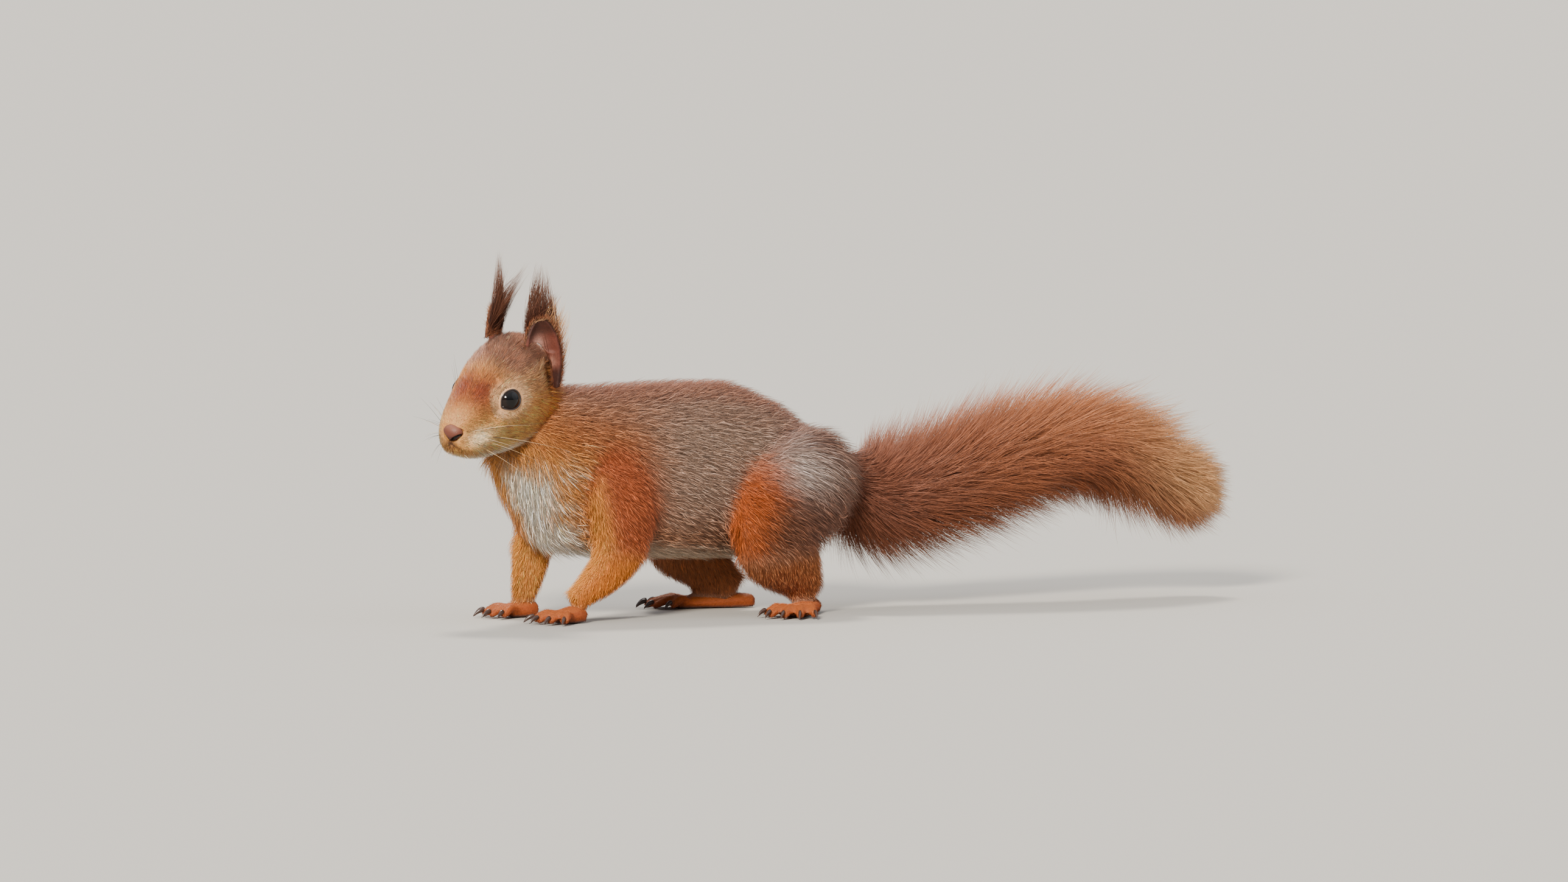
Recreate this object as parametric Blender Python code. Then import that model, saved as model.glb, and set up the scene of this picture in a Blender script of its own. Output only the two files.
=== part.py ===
"""A life-size red squirrel, standing on four feet with its head turned to its left.

The solids are the animal's outer form, coat included: a body, neck and bushy tail lofted from
a back line and a belly line, a head lofted in its own turned frame, cupped ears with tufts, and
four legs that end in toed paws with separate claws. Metres, +Z up, nose towards -X. The origin
is on the floor, below the middle of the whole animal.
"""

import math

import bmesh
import bpy
import numpy as np
from mathutils import Vector

MM = 0.001
GAP = 0.35  # clear space between neighbouring solids, in millimetres

for leftover in list(bpy.data.objects):
    bpy.data.objects.remove(leftover, do_unlink=True)

# Every solid hangs from this empty, which at the end is moved to put the origin in the middle.
stance = bpy.data.objects.new("stance", None)
bpy.context.scene.collection.objects.link(stance)


# ---------------------------------------------------------------- finishes


def linear(code):
    """An sRGB hex colour as linear RGBA."""
    parts = [int(code[i : i + 2], 16) / 255 for i in (0, 2, 4)]
    low = [p / 12.92 if p <= 0.04045 else ((p + 0.055) / 1.055) ** 2.4 for p in parts]
    return (*low, 1.0)


def finish(name, code, roughness):
    made = bpy.data.materials.new(name)
    made.use_nodes = True
    shader = made.node_tree.nodes["Principled BSDF"]
    shader.inputs["Base Color"].default_value = linear(code)
    shader.inputs["Roughness"].default_value = roughness
    shader.inputs["Metallic"].default_value = 0.0
    made.diffuse_color = linear(code)
    return made


BACK_COAT = finish("back_coat", "8A6450", 0.85)
ORANGE_COAT = finish("orange_coat", "B8642C", 0.85)
TAIL_COAT = finish("tail_coat", "93674A", 0.85)
TUFT_HAIR = finish("tuft_hair", "5A3A2A", 0.85)
EAR_SKIN = finish("ear_skin", "8E5F50", 0.7)
NOSE_SKIN = finish("nose_skin", "7A4A40", 0.5)
EYE_GLOSS = finish("eye_gloss", "0B0806", 0.05)
CLAW_HORN = finish("claw_horn", "2C1F1B", 0.35)


# ---------------------------------------------------------------- shaping tools


def flowing(stations, count):
    """Rows on a Catmull-Rom curve through the stations, at `count` even steps."""
    rows = np.array(stations, float)
    ends = np.vstack([2 * rows[0] - rows[1], rows, 2 * rows[-1] - rows[-2]])
    made = []
    for t in np.linspace(0, len(rows) - 1, count):
        i = min(int(t), len(rows) - 2)
        f = t - i
        a, b, c, d = ends[i : i + 4]
        curve = 2 * b + (c - a) * f + (2 * a - 5 * b + 4 * c - d) * f**2
        made.append(0.5 * (curve + (3 * b - a - 3 * c + d) * f**3))
    return np.array(made)


def unit(v):
    v = np.asarray(v, float)
    return v / np.linalg.norm(v)


def oval(sides, low=0.0, square=0.0):
    """(up, across) pairs round an oval from its top. `low` drops the widest point and `square`
    fills the corners."""
    turns = np.linspace(0, 2 * math.pi, sides, endpoint=False)
    up, across = np.cos(turns), np.sin(turns)
    full = 1 + square * (up * across) ** 2 * 4
    return np.stack([up * full - low * across**2, across * full], 1)


def place(obj_name, mesh, coat):
    mesh.materials.append(coat)
    mesh.shade_smooth()
    obj = bpy.data.objects.new(obj_name, mesh)
    bpy.context.scene.collection.objects.link(obj)
    obj.parent = stance
    return obj


def loft(name, rings, coat):
    """One closed solid through rings of equally many points, in millimetres."""
    rings = np.asarray(rings, float)
    steps, sides, _ = rings.shape
    shell = bmesh.new()
    points = [[shell.verts.new(p) for p in ring] for ring in rings]
    for near, far in zip(points, points[1:]):
        for i in range(sides):
            j = (i + 1) % sides
            shell.faces.new((near[i], near[j], far[j], far[i]))
    shell.faces.new(points[0][::-1])
    shell.faces.new(points[-1])
    bmesh.ops.triangulate(shell, faces=[f for f in shell.faces if len(f.verts) > 4])
    bmesh.ops.recalc_face_normals(shell, faces=shell.faces)
    bmesh.ops.scale(shell, vec=Vector((MM, MM, MM)), verts=shell.verts)
    mesh = bpy.data.meshes.new(name)
    shell.to_mesh(mesh)
    shell.free()
    return place(name, mesh, coat)


def parted(rings, cuts):
    """The rings in lengths that end at the cuts, each a gap clear of the length before it."""
    lengths = []
    for start, end in zip([0, *cuts], [*cuts, len(rings) - 1]):
        length = rings[start : end + 1].copy()
        if start:
            facing = unit(np.cross(length[0][1] - length[0][0], length[0][-1] - length[0][0]))
            onward = (length[1] - length[0]).mean(0)
            length[0] += facing * math.copysign(1.1 * GAP, facing @ onward)
        lengths.append(length)
    return lengths


def grown(obj, by=GAP):
    """A cutter: the object's own shape, moved out by a gap."""
    mesh = obj.data.copy()
    normals = [v.normal.copy() for v in mesh.vertices]
    for v, n in zip(mesh.vertices, normals):
        v.co += n * by * MM
    cutter = bpy.data.objects.new(obj.name + ".cutter", mesh)
    bpy.context.scene.collection.objects.link(cutter)
    cutter.parent = stance
    cutter.hide_render = True
    cutter.display_type = "WIRE"
    return cutter


def carve(obj, *cutters):
    for cutter in cutters:
        cut = obj.modifiers.new("clear_of_" + cutter.name.split(".")[0], "BOOLEAN")
        cut.operation = "DIFFERENCE"
        cut.object = cutter


# ---------------------------------------------------------------- neck and trunk
# Each station is a slice of the body: its point on the back (x, z), its point on the throat,
# chest or belly (x, z), its half width, and how far its middle lies to the right (+y).

TRUNK_STATIONS = [
    (-90, 104, -111, 67, 16.5, 1.0),
    (-79, 102, -106.5, 57, 19.5, 0.5),
    (-68, 99.5, -101.5, 46, 22, 0),
    (-57, 98.5, -93.5, 34, 24, 0),
    (-45, 99, -80, 26, 25.5, 0),
    (-32, 100, -58, 23, 26.5, 0),
    (-18, 100.5, -34, 22, 27, 0),
    (-4, 98.5, -8, 21, 27.5, 0),
    (10, 94.5, 16, 22, 28, 0),
    (24, 87.5, 34, 27, 26.5, 0),
    (37, 77.5, 47, 35, 23, 0),
    (47, 69.5, 55, 43, 17, 0),
    (54, 64, 59, 49, 11, 0),
]
TRUNK_SIDES = 20
TRUNK_RINGS = 22
NECK_ENDS, CHEST_ENDS, LOIN_ENDS = 4, 9, 14  # the rings where one part ends


def trunk_rings():
    slices = []
    for xt, zt, xb, zb, half, y in flowing(TRUNK_STATIONS, TRUNK_RINGS):
        top, bottom = np.array([xt, y, zt]), np.array([xb, y, zb])
        middle, rise = (top + bottom) / 2, (top - bottom) / 2
        shape = oval(TRUNK_SIDES, low=0.12)
        across = np.array([0, half, 0])
        slices.append(middle + shape[:, :1] * rise + shape[:, 1:] * across)
    return np.array(slices)


trunk_lengths = parted(trunk_rings(), (NECK_ENDS, CHEST_ENDS, LOIN_ENDS))
neck, chest, loin, rump = (
    loft(name, rings, BACK_COAT)
    for name, rings in zip(("neck", "chest", "loin", "rump"), trunk_lengths)
)


# ---------------------------------------------------------------- tail
# Stations along the tail: middle (x, z), half height and half width at the hair tips.

TAIL_STATIONS = [
    (56.5, 51, 15, 11),
    (66, 46, 23.5, 16.5),
    (82, 46.8, 28.6, 21.2),
    (101, 50.4, 31, 24.2),
    (119, 56, 31, 25.5),
    (137, 60.5, 30.5, 26),
    (155, 64.5, 28.5, 26),
    (173, 64.5, 27.5, 25.5),
    (188, 59.5, 27, 25),
    (202, 51.5, 26.5, 23.5),
    (215, 45.5, 23, 20.5),
    (226, 41.5, 17.5, 15),
    (233, 39, 9.5, 8),
    (236.5, 38, 3, 2.5),
]
TAIL_SIDES = 16
TAIL_RINGS = 23
TAIL_CUTS = (5, 9, 13, 17)


def tail_rings():
    rows = flowing(TAIL_STATIONS, TAIL_RINGS)
    ahead = np.gradient(rows[:, :2], axis=0)
    slices = []
    for (x, z, high, wide), (dx, dz) in zip(rows, ahead):
        up = unit((-dz, 0, dx))
        shape = oval(TAIL_SIDES)
        across = np.array([0, wide, 0])
        slices.append(np.array([x, 0, z]) + shape[:, :1] * up * high + shape[:, 1:] * across)
    return np.array(slices)


tail = [
    loft(f"tail_{i + 1}", rings, TAIL_COAT)
    for i, rings in enumerate(parted(tail_rings(), TAIL_CUTS))
]


# ---------------------------------------------------------------- head
# The head has its own frame: forward, left and up from the middle of the line between the eyes.

HEAD_AT = (-115.7, -11.0, 94.4)
HEAD_TURN, HEAD_DROP, HEAD_LEAN = 27.0, 14.0, 9.0  # degrees: to the left, nose down, left ear down

turn, drop, lean = (math.radians(v) for v in (HEAD_TURN, HEAD_DROP, HEAD_LEAN))
level_forward = np.array([-math.cos(turn), -math.sin(turn), 0])
level_left = np.array([math.sin(turn), -math.cos(turn), 0])
level_up = np.array([0, 0, 1.0])
FORWARD = level_forward * math.cos(drop) - level_up * math.sin(drop)
nodding_up = level_forward * math.sin(drop) + level_up * math.cos(drop)
LEFT = level_left * math.cos(lean) - nodding_up * math.sin(lean)
UP = nodding_up * math.cos(lean) + level_left * math.sin(lean)


def on_head(forward, left, up):
    """A place or places in the head's frame, as millimetres in the animal's."""
    spread = np.multiply.outer
    return np.array(HEAD_AT) + spread(forward, FORWARD) + spread(left, LEFT) + spread(up, UP)


# Stations from the nape to the nose: forward, top, bottom, half width.
HEAD_STATIONS = [
    (-33, 9, -7, 6.5),
    (-30, 15.5, -14, 12),
    (-24, 20.3, -19, 15.8),
    (-17, 21.5, -21.5, 17.7),
    (-10, 20, -22.5, 18),
    (-3, 16.6, -22.8, 17.2),
    (4, 12, -22.8, 16),
    (10, 7.4, -22.6, 14.3),
    (15.5, 3.4, -22, 12.3),
    (20, 0, -20.6, 10.4),
    (23.5, -3, -18.4, 8.3),
    (26, -5.4, -15.6, 5.6),
    (27.4, -7.4, -12.8, 2.8),
]
HEAD_SIDES = 18
HEAD_RINGS = 18

head_slices = []
for forward, top, bottom, half in flowing(HEAD_STATIONS, HEAD_RINGS):
    shape = oval(HEAD_SIDES, low=0.14, square=0.07)
    up = (top + bottom) / 2 + shape[:, 0] * (top - bottom) / 2
    head_slices.append(on_head(np.full(HEAD_SIDES, forward), -shape[:, 1] * half, up))
head = loft("head", head_slices, ORANGE_COAT)


def ball(name, middle, radii, coat, segments=12, rings=8):
    """An ellipsoid in the head's frame: its middle and its forward, left and up radii."""
    globe = bmesh.new()
    bmesh.ops.create_uvsphere(globe, u_segments=segments, v_segments=rings, radius=1.0)
    for v in globe.verts:
        v.co = on_head(*(m + r * c for m, r, c in zip(middle, radii, v.co))) * MM
    mesh = bpy.data.meshes.new(name)
    globe.to_mesh(mesh)
    globe.free()
    return place(name, mesh, coat)


EYE_RADIUS = 5.2
EYE_MIDDLE = (2.2, 11.2, 0.0)
NOSE_MIDDLE, NOSE_RADII = (25.4, 0.0, -9.2), (2.8, 4.0, 3.2)
SIDES = (("left", 1), ("right", -1))

eyes = [
    ball(
        f"eye_{name}",
        (EYE_MIDDLE[0], side * EYE_MIDDLE[1], EYE_MIDDLE[2]),
        [EYE_RADIUS] * 3,
        EYE_GLOSS,
    )
    for name, side in SIDES
]
nose = ball("nose", NOSE_MIDDLE, NOSE_RADII, NOSE_SKIN)


# ---------------------------------------------------------------- ears and their tufts
# An ear is a cupped leaf: rows up its height, each an arc that opens forward and outward.

EAR_FOOT = (-21.0, 15.0, 1.8)  # forward, out to the side, up
EAR_LEANS_IN, EAR_OPENS_AT = 7.0, 64.0  # degrees
EAR_WALL = 1.5
EAR_ROWS, EAR_COLUMNS = 8, 7
# Stations up the ear: height, half width, half angle of its arc in degrees.
EAR_STATIONS = [
    (-4, 6.0, 84),
    (4, 8.0, 74),
    (11, 8.6, 64),
    (18, 7.6, 56),
    (23, 5.4, 48),
    (26, 2.8, 40),
]


def ear_frame(side):
    """The ear's foot, and its up, opening and edge directions."""
    forward, out, up = EAR_FOOT
    foot = on_head(forward, side * out, up)
    outward = LEFT * side
    leans, opens = math.radians(EAR_LEANS_IN), math.radians(EAR_OPENS_AT)
    rise = UP * math.cos(leans) - outward * math.sin(leans)
    opening = FORWARD * math.cos(opens) + outward * math.sin(opens)
    opening = unit(opening - rise * (opening @ rise))
    return foot, rise, opening, np.cross(rise, opening)


def ear(name, side):
    foot, rise, opening, edge = ear_frame(side)
    rings = []
    for height, half, angle in flowing(EAR_STATIONS, EAR_ROWS):
        bend = math.radians(angle)
        turns = np.linspace(-bend, bend, EAR_COLUMNS)
        radius = half / math.sin(bend)
        back, front = radius, radius - EAR_WALL
        arc = [(back * math.sin(a), -back * math.cos(a)) for a in turns]
        arc += [(front * math.sin(a), -front * math.cos(a)) for a in turns[::-1]]
        centre = foot + rise * height + opening * radius * math.cos(bend)
        rings.append([centre + edge * e + opening * o for e, o in arc])
    return loft(f"ear_{name}", rings, EAR_SKIN)


# Stations up a tuft: height over the ear's foot, how far behind, how far to the rear, half width,
# half thickness.
TUFT_STATIONS = [
    (13, 7.6, 0.5, 6.5, 2.0),
    (20, 6.9, 1.0, 8.0, 2.7),
    (26, 5.6, 1.5, 8.2, 2.8),
    (32, 2.6, 1.8, 7.4, 2.8),
    (39, 0.9, 2.4, 5.6, 2.3),
    (46, 0.2, 3.6, 3.2, 1.5),
    (52, 0.0, 4.8, 0.9, 0.7),
]
TUFT_SIDES, TUFT_RINGS = 8, 7


def tuft(name, side):
    foot, rise, opening, edge = ear_frame(side)
    rings = []
    for height, behind, rearward, half, thick in flowing(TUFT_STATIONS, TUFT_RINGS):
        shape = oval(TUFT_SIDES)
        middle = foot + rise * height - opening * behind + edge * side * rearward
        rings.append(middle + shape[:, :1] * edge * half + shape[:, 1:] * opening * thick)
    return loft(f"ear_tuft_{name}", rings, TUFT_HAIR)


ears = [ear(name, side) for name, side in SIDES]
tufts = [tuft(name, side) for name, side in SIDES]


# ---------------------------------------------------------------- legs
# Stations down a leg: x, y, z of its middle, half width fore and aft, half thickness side to side.

LEG_RINGS_LEVEL = 0.8  # how far the rings stay level where the leg slants


def leg_rings(stations, count, sides):
    rows = flowing(stations, count)
    ahead = np.gradient(rows[:, :3], axis=0)
    slices = []
    for row, along in zip(rows, ahead):
        along = unit(unit(along) + (0, 0, -LEG_RINGS_LEVEL))
        aside = unit(np.array([0, 1.0, 0]) - along * along[1])
        fore = np.cross(along, aside)
        shape = oval(sides)
        slices.append(row[:3] + shape[:, :1] * fore * row[3] + shape[:, 1:] * aside * row[4])
    return np.array(slices)


LEGS = {
    "foreleg_left": [
        (-62, -15, 72, 8, 5),
        (-62, -18, 62, 15, 9),
        (-60, -21, 48, 16.5, 11),
        (-59, -22, 34, 14.5, 10.5),
        (-63, -22.5, 23.5, 11.7, 9.3),
        (-73, -23, 14.5, 9, 8),
        (-82, -23.5, 8.5, 6.2, 6.5),
    ],
    "foreleg_right": [
        (-68, 15, 70, 8, 5),
        (-70, 18, 60, 14, 8.5),
        (-74, 19, 48, 15, 10),
        (-77, 18.5, 36, 12.3, 10),
        (-80.5, 17, 25, 9.4, 8.9),
        (-83, 16, 15, 7.8, 7.6),
        (-85, 15.5, 8, 6.2, 6.4),
    ],
    "hindleg_left": [
        (33.5, -15, 78, 8, 4),
        (30, -20, 69, 19.8, 10),
        (20, -23.5, 55, 26, 13),
        (12, -26.5, 40, 25.5, 13.5),
        (9, -28, 28, 21, 11.8),
        (15, -26.5, 20, 17.5, 10.5),
        (23, -23.5, 13, 12, 8.5),
        (29, -20.5, 8, 7.5, 6.8),
    ],
    "hindleg_right": [
        (27.5, 15, 78, 8, 4),
        (22, 20, 69, 19.8, 10),
        (10, 23.5, 55, 26, 13),
        (-2, 26.5, 40, 23, 13.5),
        (-7, 27, 28, 18.5, 11.8),
        (0, 26, 20, 16, 10.5),
        (9, 23, 13, 11.5, 8.5),
        (17, 21, 8, 7.5, 6.8),
    ],
}
SEGMENTS = {"foreleg": ("upper_arm", "forearm"), "hindleg": ("thigh", "shank")}
LEG_SIDES, LEG_RINGS, ELBOW_OR_KNEE = 14, 13, 7

legs = {}
for leg_name, stations in LEGS.items():
    kind, side_name = leg_name.split("_")
    lengths = parted(leg_rings(stations, LEG_RINGS, LEG_SIDES), (ELBOW_OR_KNEE,))
    coats = (BACK_COAT if kind == "hindleg" else ORANGE_COAT, ORANGE_COAT)
    legs[leg_name] = [
        loft(f"{segment}_{side_name}", rings, coat)
        for segment, rings, coat in zip(SEGMENTS[kind], lengths, coats)
    ]


# ---------------------------------------------------------------- paws, toes and claws
# A paw is a palm and its toes grown into one piece, cut level at the floor.


def limb_of(points, radii, sides=10):
    """Rings round a path that lies mostly level."""
    rows = np.column_stack([points, radii])
    rows = flowing(rows, 3 * len(rows))
    ahead = np.gradient(rows[:, :3], axis=0)
    slices = []
    for row, along in zip(rows, ahead):
        along = unit(along)
        aside = unit(np.cross(along, (0, 0, 1.0)))
        over = np.cross(aside, along)
        shape = oval(sides)
        slices.append(row[:3] + shape[:, :1] * over * row[4] + shape[:, 1:] * aside * row[3])
    return np.array(slices)


# name: heel or wrist (x, y), heading in degrees from -X towards the outside, palm length,
# half width at the heel and at the toes, palm height, toe splay angles (outside first), toe lengths.
FORE_TOES = ((34, 9.5), (13, 11.5), (-8, 11.5), (-30, 9.5))
HIND_TOES = ((27, 13.0), (12, 16.5), (-2, 17.5), (-16, 16.0), (-36, 10.0))
PAWS = {
    "forepaw_left": ((-81, -24), 14, 9.5, 5.2, 6.6, 8.6, FORE_TOES),
    "forepaw_right": ((-83, 15.5), 2, 9.5, 5.2, 6.6, 8.6, FORE_TOES),
    "hindfoot_left": ((31, -19), 46, 29, 4.8, 7.8, 7.6, HIND_TOES),
    "hindfoot_right": ((20, 20.5), 18, 29, 4.8, 7.8, 7.6, HIND_TOES),
}
TOE_THICK, TOE_HIGH = 2.2, 5.2  # toe radius, and how high its knuckle stands
CLAW_LONG, CLAW_THICK = 5.2, 0.95
PAW_VOXEL, PAW_TRIANGLES = 0.75, 235
SOLE_SINKS = 1.0  # how far a paw is sunk before it is cut level at the floor


def floor_cutter():
    slab = bmesh.new()
    bmesh.ops.create_cube(slab, size=1.0)
    bmesh.ops.scale(slab, vec=Vector((0.5, 0.4, 0.02)), verts=slab.verts)
    bmesh.ops.translate(slab, vec=Vector((0, 0, -0.01)), verts=slab.verts)
    mesh = bpy.data.meshes.new("floor_cutter")
    slab.to_mesh(mesh)
    slab.free()
    made = bpy.data.objects.new("floor.cutter", mesh)
    bpy.context.scene.collection.objects.link(made)
    made.parent = stance
    made.hide_render = True
    made.display_type = "WIRE"
    return made


floor = floor_cutter()


def claw(name, root, out, down):
    """A curved, tapering claw from its root, bending down."""
    rings = []
    for t, thick in ((0, 0.95), (0.35, 1.0), (0.7, 0.62), (1, 0.12)):
        angle = math.radians(8 + 62 * t)
        middle = root + out * CLAW_LONG * t * 0.86 + down * CLAW_LONG * 0.52 * t**2
        along = unit(out * math.cos(angle) + down * math.sin(angle))
        aside = np.cross(along, (0, 0, 1.0))
        aside = unit(aside)
        over = np.cross(aside, along)
        shape = oval(5) * thick * CLAW_THICK
        rings.append(middle + shape[:, :1] * over * 1.2 + shape[:, 1:] * aside * 0.8)
    return loft(name, rings, CLAW_HORN)


def paw(name, start, heading, palm_long, half_heel, half_toes, high, toes):
    outward = -1 if name.endswith("left") else 1
    begin = np.array([*start, 0.0])
    shell = bmesh.new()
    claws = []

    def facing(degrees):
        angle = math.radians(degrees)
        return np.array([-math.cos(angle), outward * math.sin(angle), 0.0])

    ahead = facing(heading)
    palm_points = [
        begin - ahead * 5.0 + (0, 0, high * 0.5),
        begin - ahead * 3.0 + (0, 0, high * 0.5),
        begin + ahead * palm_long * 0.15 + (0, 0, high * 0.5),
        begin + ahead * palm_long * 0.6 + (0, 0, high * 0.46),
        begin + ahead * palm_long + (0, 0, high * 0.4),
    ]
    palm_size = [
        (half_heel * 0.25, high * 0.2),
        (half_heel * 0.7, high * 0.42),
        (half_heel, high * 0.5),
        (half_toes * 0.85, high * 0.46),
        (half_toes, high * 0.4),
    ]
    pieces = [limb_of(palm_points, palm_size, 12)]
    spread = np.linspace(1, -1, len(toes)) * half_toes * 0.72
    for number, ((splay, long), offset) in enumerate(zip(toes, spread), 1):
        toe_way = facing(heading + splay)
        aside = facing(heading + 90)
        knuckle = begin + ahead * palm_long * 0.86 + aside * offset
        points = [
            knuckle - toe_way * 3 + (0, 0, 3.4),
            knuckle + toe_way * long * 0.3 + (0, 0, TOE_HIGH),
            knuckle + toe_way * long * 0.65 + (0, 0, TOE_HIGH - 1.2),
            knuckle + toe_way * long * 0.95 + (0, 0, TOE_THICK + 0.1),
        ]
        size = [
            (2.0, 2.0),
            (TOE_THICK * 0.98, TOE_THICK),
            (TOE_THICK, TOE_THICK * 0.96),
            (TOE_THICK * 0.82, TOE_THICK * 0.9),
        ]
        pieces.append(limb_of(points, size))
        root = knuckle + toe_way * (long * 0.95 - 0.7) + (0, 0, TOE_THICK + 1.15)
        claw_name = name.replace("paw", "claw").replace("foot", "claw")
        claws.append(claw(f"{claw_name}_{number}", root, toe_way, np.array([0, 0, -1.0])))
    for rings in pieces:
        points = [[shell.verts.new(p - (0, 0, SOLE_SINKS)) for p in ring] for ring in rings]
        for near, far in zip(points, points[1:]):
            for i in range(len(near)):
                j = (i + 1) % len(near)
                shell.faces.new((near[i], near[j], far[j], far[i]))
        shell.faces.new(points[0][::-1])
        shell.faces.new(points[-1])
    bmesh.ops.recalc_face_normals(shell, faces=shell.faces)
    bmesh.ops.scale(shell, vec=Vector((MM, MM, MM)), verts=shell.verts)
    mesh = bpy.data.meshes.new(name)
    shell.to_mesh(mesh)
    shell.free()
    made = place(name, mesh, ORANGE_COAT)
    grow = made.modifiers.new("grow_together", "REMESH")
    grow.mode = "VOXEL"
    grow.voxel_size = PAW_VOXEL * MM
    soften = made.modifiers.new("soften", "SMOOTH")
    soften.iterations = 3
    soften.factor = 0.5
    bpy.context.view_layer.update()
    graph = bpy.context.evaluated_depsgraph_get()
    heavy = made.evaluated_get(graph).to_mesh()
    heavy.calc_loop_triangles()
    triangles = len(heavy.loop_triangles)
    made.evaluated_get(graph).to_mesh_clear()
    lighten = made.modifiers.new("lighten", "DECIMATE")
    lighten.ratio = PAW_TRIANGLES / triangles
    lighten.use_collapse_triangulate = True
    return made, claws


paws = {name: paw(name, *sizes) for name, sizes in PAWS.items()}


# ---------------------------------------------------------------- clearances
# Where two pieces would share space, one keeps its whole shape and the other is cut to clear it.


def box(obj):
    points = np.array([v.co for v in obj.data.vertices])
    return points.min(0), points.max(0)


def clear(kept, *others):
    """Cut each of the others that comes near the kept piece so that it clears it."""
    low, high = box(kept)
    cutter = None
    for other in others:
        other_low, other_high = box(other)
        if (other_low < high + GAP * MM).all() and (other_high > low - GAP * MM).all():
            cutter = cutter or grown(kept)
            carve(other, cutter)


body = [neck, chest, loin, rump, *tail]
for each_eye in eyes:
    clear(each_eye, head)
clear(nose, head)
for each_ear, each_tuft in zip(ears, tufts):
    clear(head, each_ear, each_tuft)
    clear(each_ear, each_tuft)
clear(head, *body)
clear(rump, tail[0])
for each_ear in ears + tufts:
    clear(each_ear, neck)
for name, (upper, lower) in legs.items():
    clear(upper, *body)
    clear(lower, *body)
for name, (made, claws) in paws.items():
    kind, side_name = name.split("_")
    lower = legs[f"{'foreleg' if kind == 'forepaw' else 'hindleg'}_{side_name}"][1]
    clear(lower, made)
    carve(made, floor)
    carve(lower, floor)
    for each_claw in claws:
        clear(each_claw, made)

solids = [obj for obj in stance.children if not obj.hide_render]
lows, highs = zip(*(box(obj) for obj in solids))
middle = (np.min(lows, 0) + np.max(highs, 0)) / 2
stance.location = (-middle[0], -middle[1], 0)
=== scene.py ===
import math

import bmesh
import bpy
import numpy as np
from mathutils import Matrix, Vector
from mathutils.bvhtree import BVHTree
from mathutils.kdtree import KDTree


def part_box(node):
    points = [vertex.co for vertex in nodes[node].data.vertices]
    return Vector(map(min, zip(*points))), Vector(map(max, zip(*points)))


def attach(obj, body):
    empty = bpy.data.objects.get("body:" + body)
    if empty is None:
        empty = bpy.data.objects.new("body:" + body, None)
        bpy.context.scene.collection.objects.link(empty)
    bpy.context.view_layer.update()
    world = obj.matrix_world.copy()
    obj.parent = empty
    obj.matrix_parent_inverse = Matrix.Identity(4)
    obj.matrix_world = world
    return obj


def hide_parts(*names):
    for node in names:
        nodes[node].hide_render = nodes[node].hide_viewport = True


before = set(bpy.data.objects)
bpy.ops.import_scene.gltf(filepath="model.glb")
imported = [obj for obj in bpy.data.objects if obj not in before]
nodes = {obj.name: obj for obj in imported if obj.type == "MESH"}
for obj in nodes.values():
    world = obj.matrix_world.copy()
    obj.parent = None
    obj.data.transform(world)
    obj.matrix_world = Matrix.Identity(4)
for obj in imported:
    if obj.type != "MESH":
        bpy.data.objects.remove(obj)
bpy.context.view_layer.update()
scene = bpy.context.scene

# ---------------------------------------------------------------- camera
# A long lens a little above the floor looks at the animal's left side from ahead of its
# shoulder, so the head, turned to its left, is seen half from the front.

MM = 0.001
CAMERA_TURN, CAMERA_RISE = math.radians(-28), math.radians(4)
CAMERA_LENS, SENSOR = 800, 36
SEEN_WIDTH = 644  # millimetres across the frame at the animal
AIM = (-25.0, -1.5, 70.2)  # the middle of the frame, in millimetres
SEES_TO = 100  # metres

towards_camera = Vector(
    (
        math.sin(CAMERA_TURN) * math.cos(CAMERA_RISE),
        -math.cos(CAMERA_TURN) * math.cos(CAMERA_RISE),
        math.sin(CAMERA_RISE),
    )
)
camera = bpy.data.objects.new("camera", bpy.data.cameras.new("camera"))
scene.collection.objects.link(camera)
camera.data.sensor_width = SENSOR
camera.data.lens = CAMERA_LENS
camera.data.clip_end = SEES_TO
camera.location = Vector(AIM) * MM + towards_camera * CAMERA_LENS * SEEN_WIDTH * MM / SENSOR
camera.rotation_euler = towards_camera.to_track_quat("Z", "Y").to_euler()
scene.camera = camera


# ---------------------------------------------------------------- floor and light
# A plain pale sheet of matt card runs far past the frame. One large soft key comes from the
# left and front, a warm rim light from behind and a faint fill from the rear left, and a pale
# sky fills the shadows.


def linear(code):
    """An sRGB hex colour as linear RGB."""
    parts = [int(code[i : i + 2], 16) / 255 for i in (0, 2, 4)]
    return [p / 12.92 if p <= 0.04045 else ((p + 0.055) / 1.055) ** 2.4 for p in parts]


def add(tree, kind, inputs=(), links=(), **settings):
    """Adds a node with its settings, its sockets' values and the links that feed it."""
    node = tree.nodes.new(kind)
    for name, value in settings.items():
        setattr(node, name, value)
    for socket, value in dict(inputs).items():
        node.inputs[socket].default_value = value
    for socket, source in dict(links).items():
        tree.links.new(source, node.inputs[socket])
    return node


def material(name):
    made = bpy.data.materials.new(name)
    made.use_nodes = True
    made.node_tree.nodes.clear()
    return made, made.node_tree


def surface(tree, values, links=()):
    """The one shader of a material."""
    shader = add(tree, "ShaderNodeBsdfPrincipled", values, links)
    add(tree, "ShaderNodeOutputMaterial", links={"Surface": shader.outputs[0]})


def pattern(tree, kind, values):
    """A procedural pattern laid by the object's own place, so its scale is in metres."""
    return add(tree, kind, values, {"Vector": add(tree, "ShaderNodeTexCoord").outputs["Object"]})


def bumps(tree, height, strength, distance):
    settings = {"Strength": strength, "Distance": distance}
    return add(tree, "ShaderNodeBump", settings, {"Height": height}).outputs["Normal"]


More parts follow.
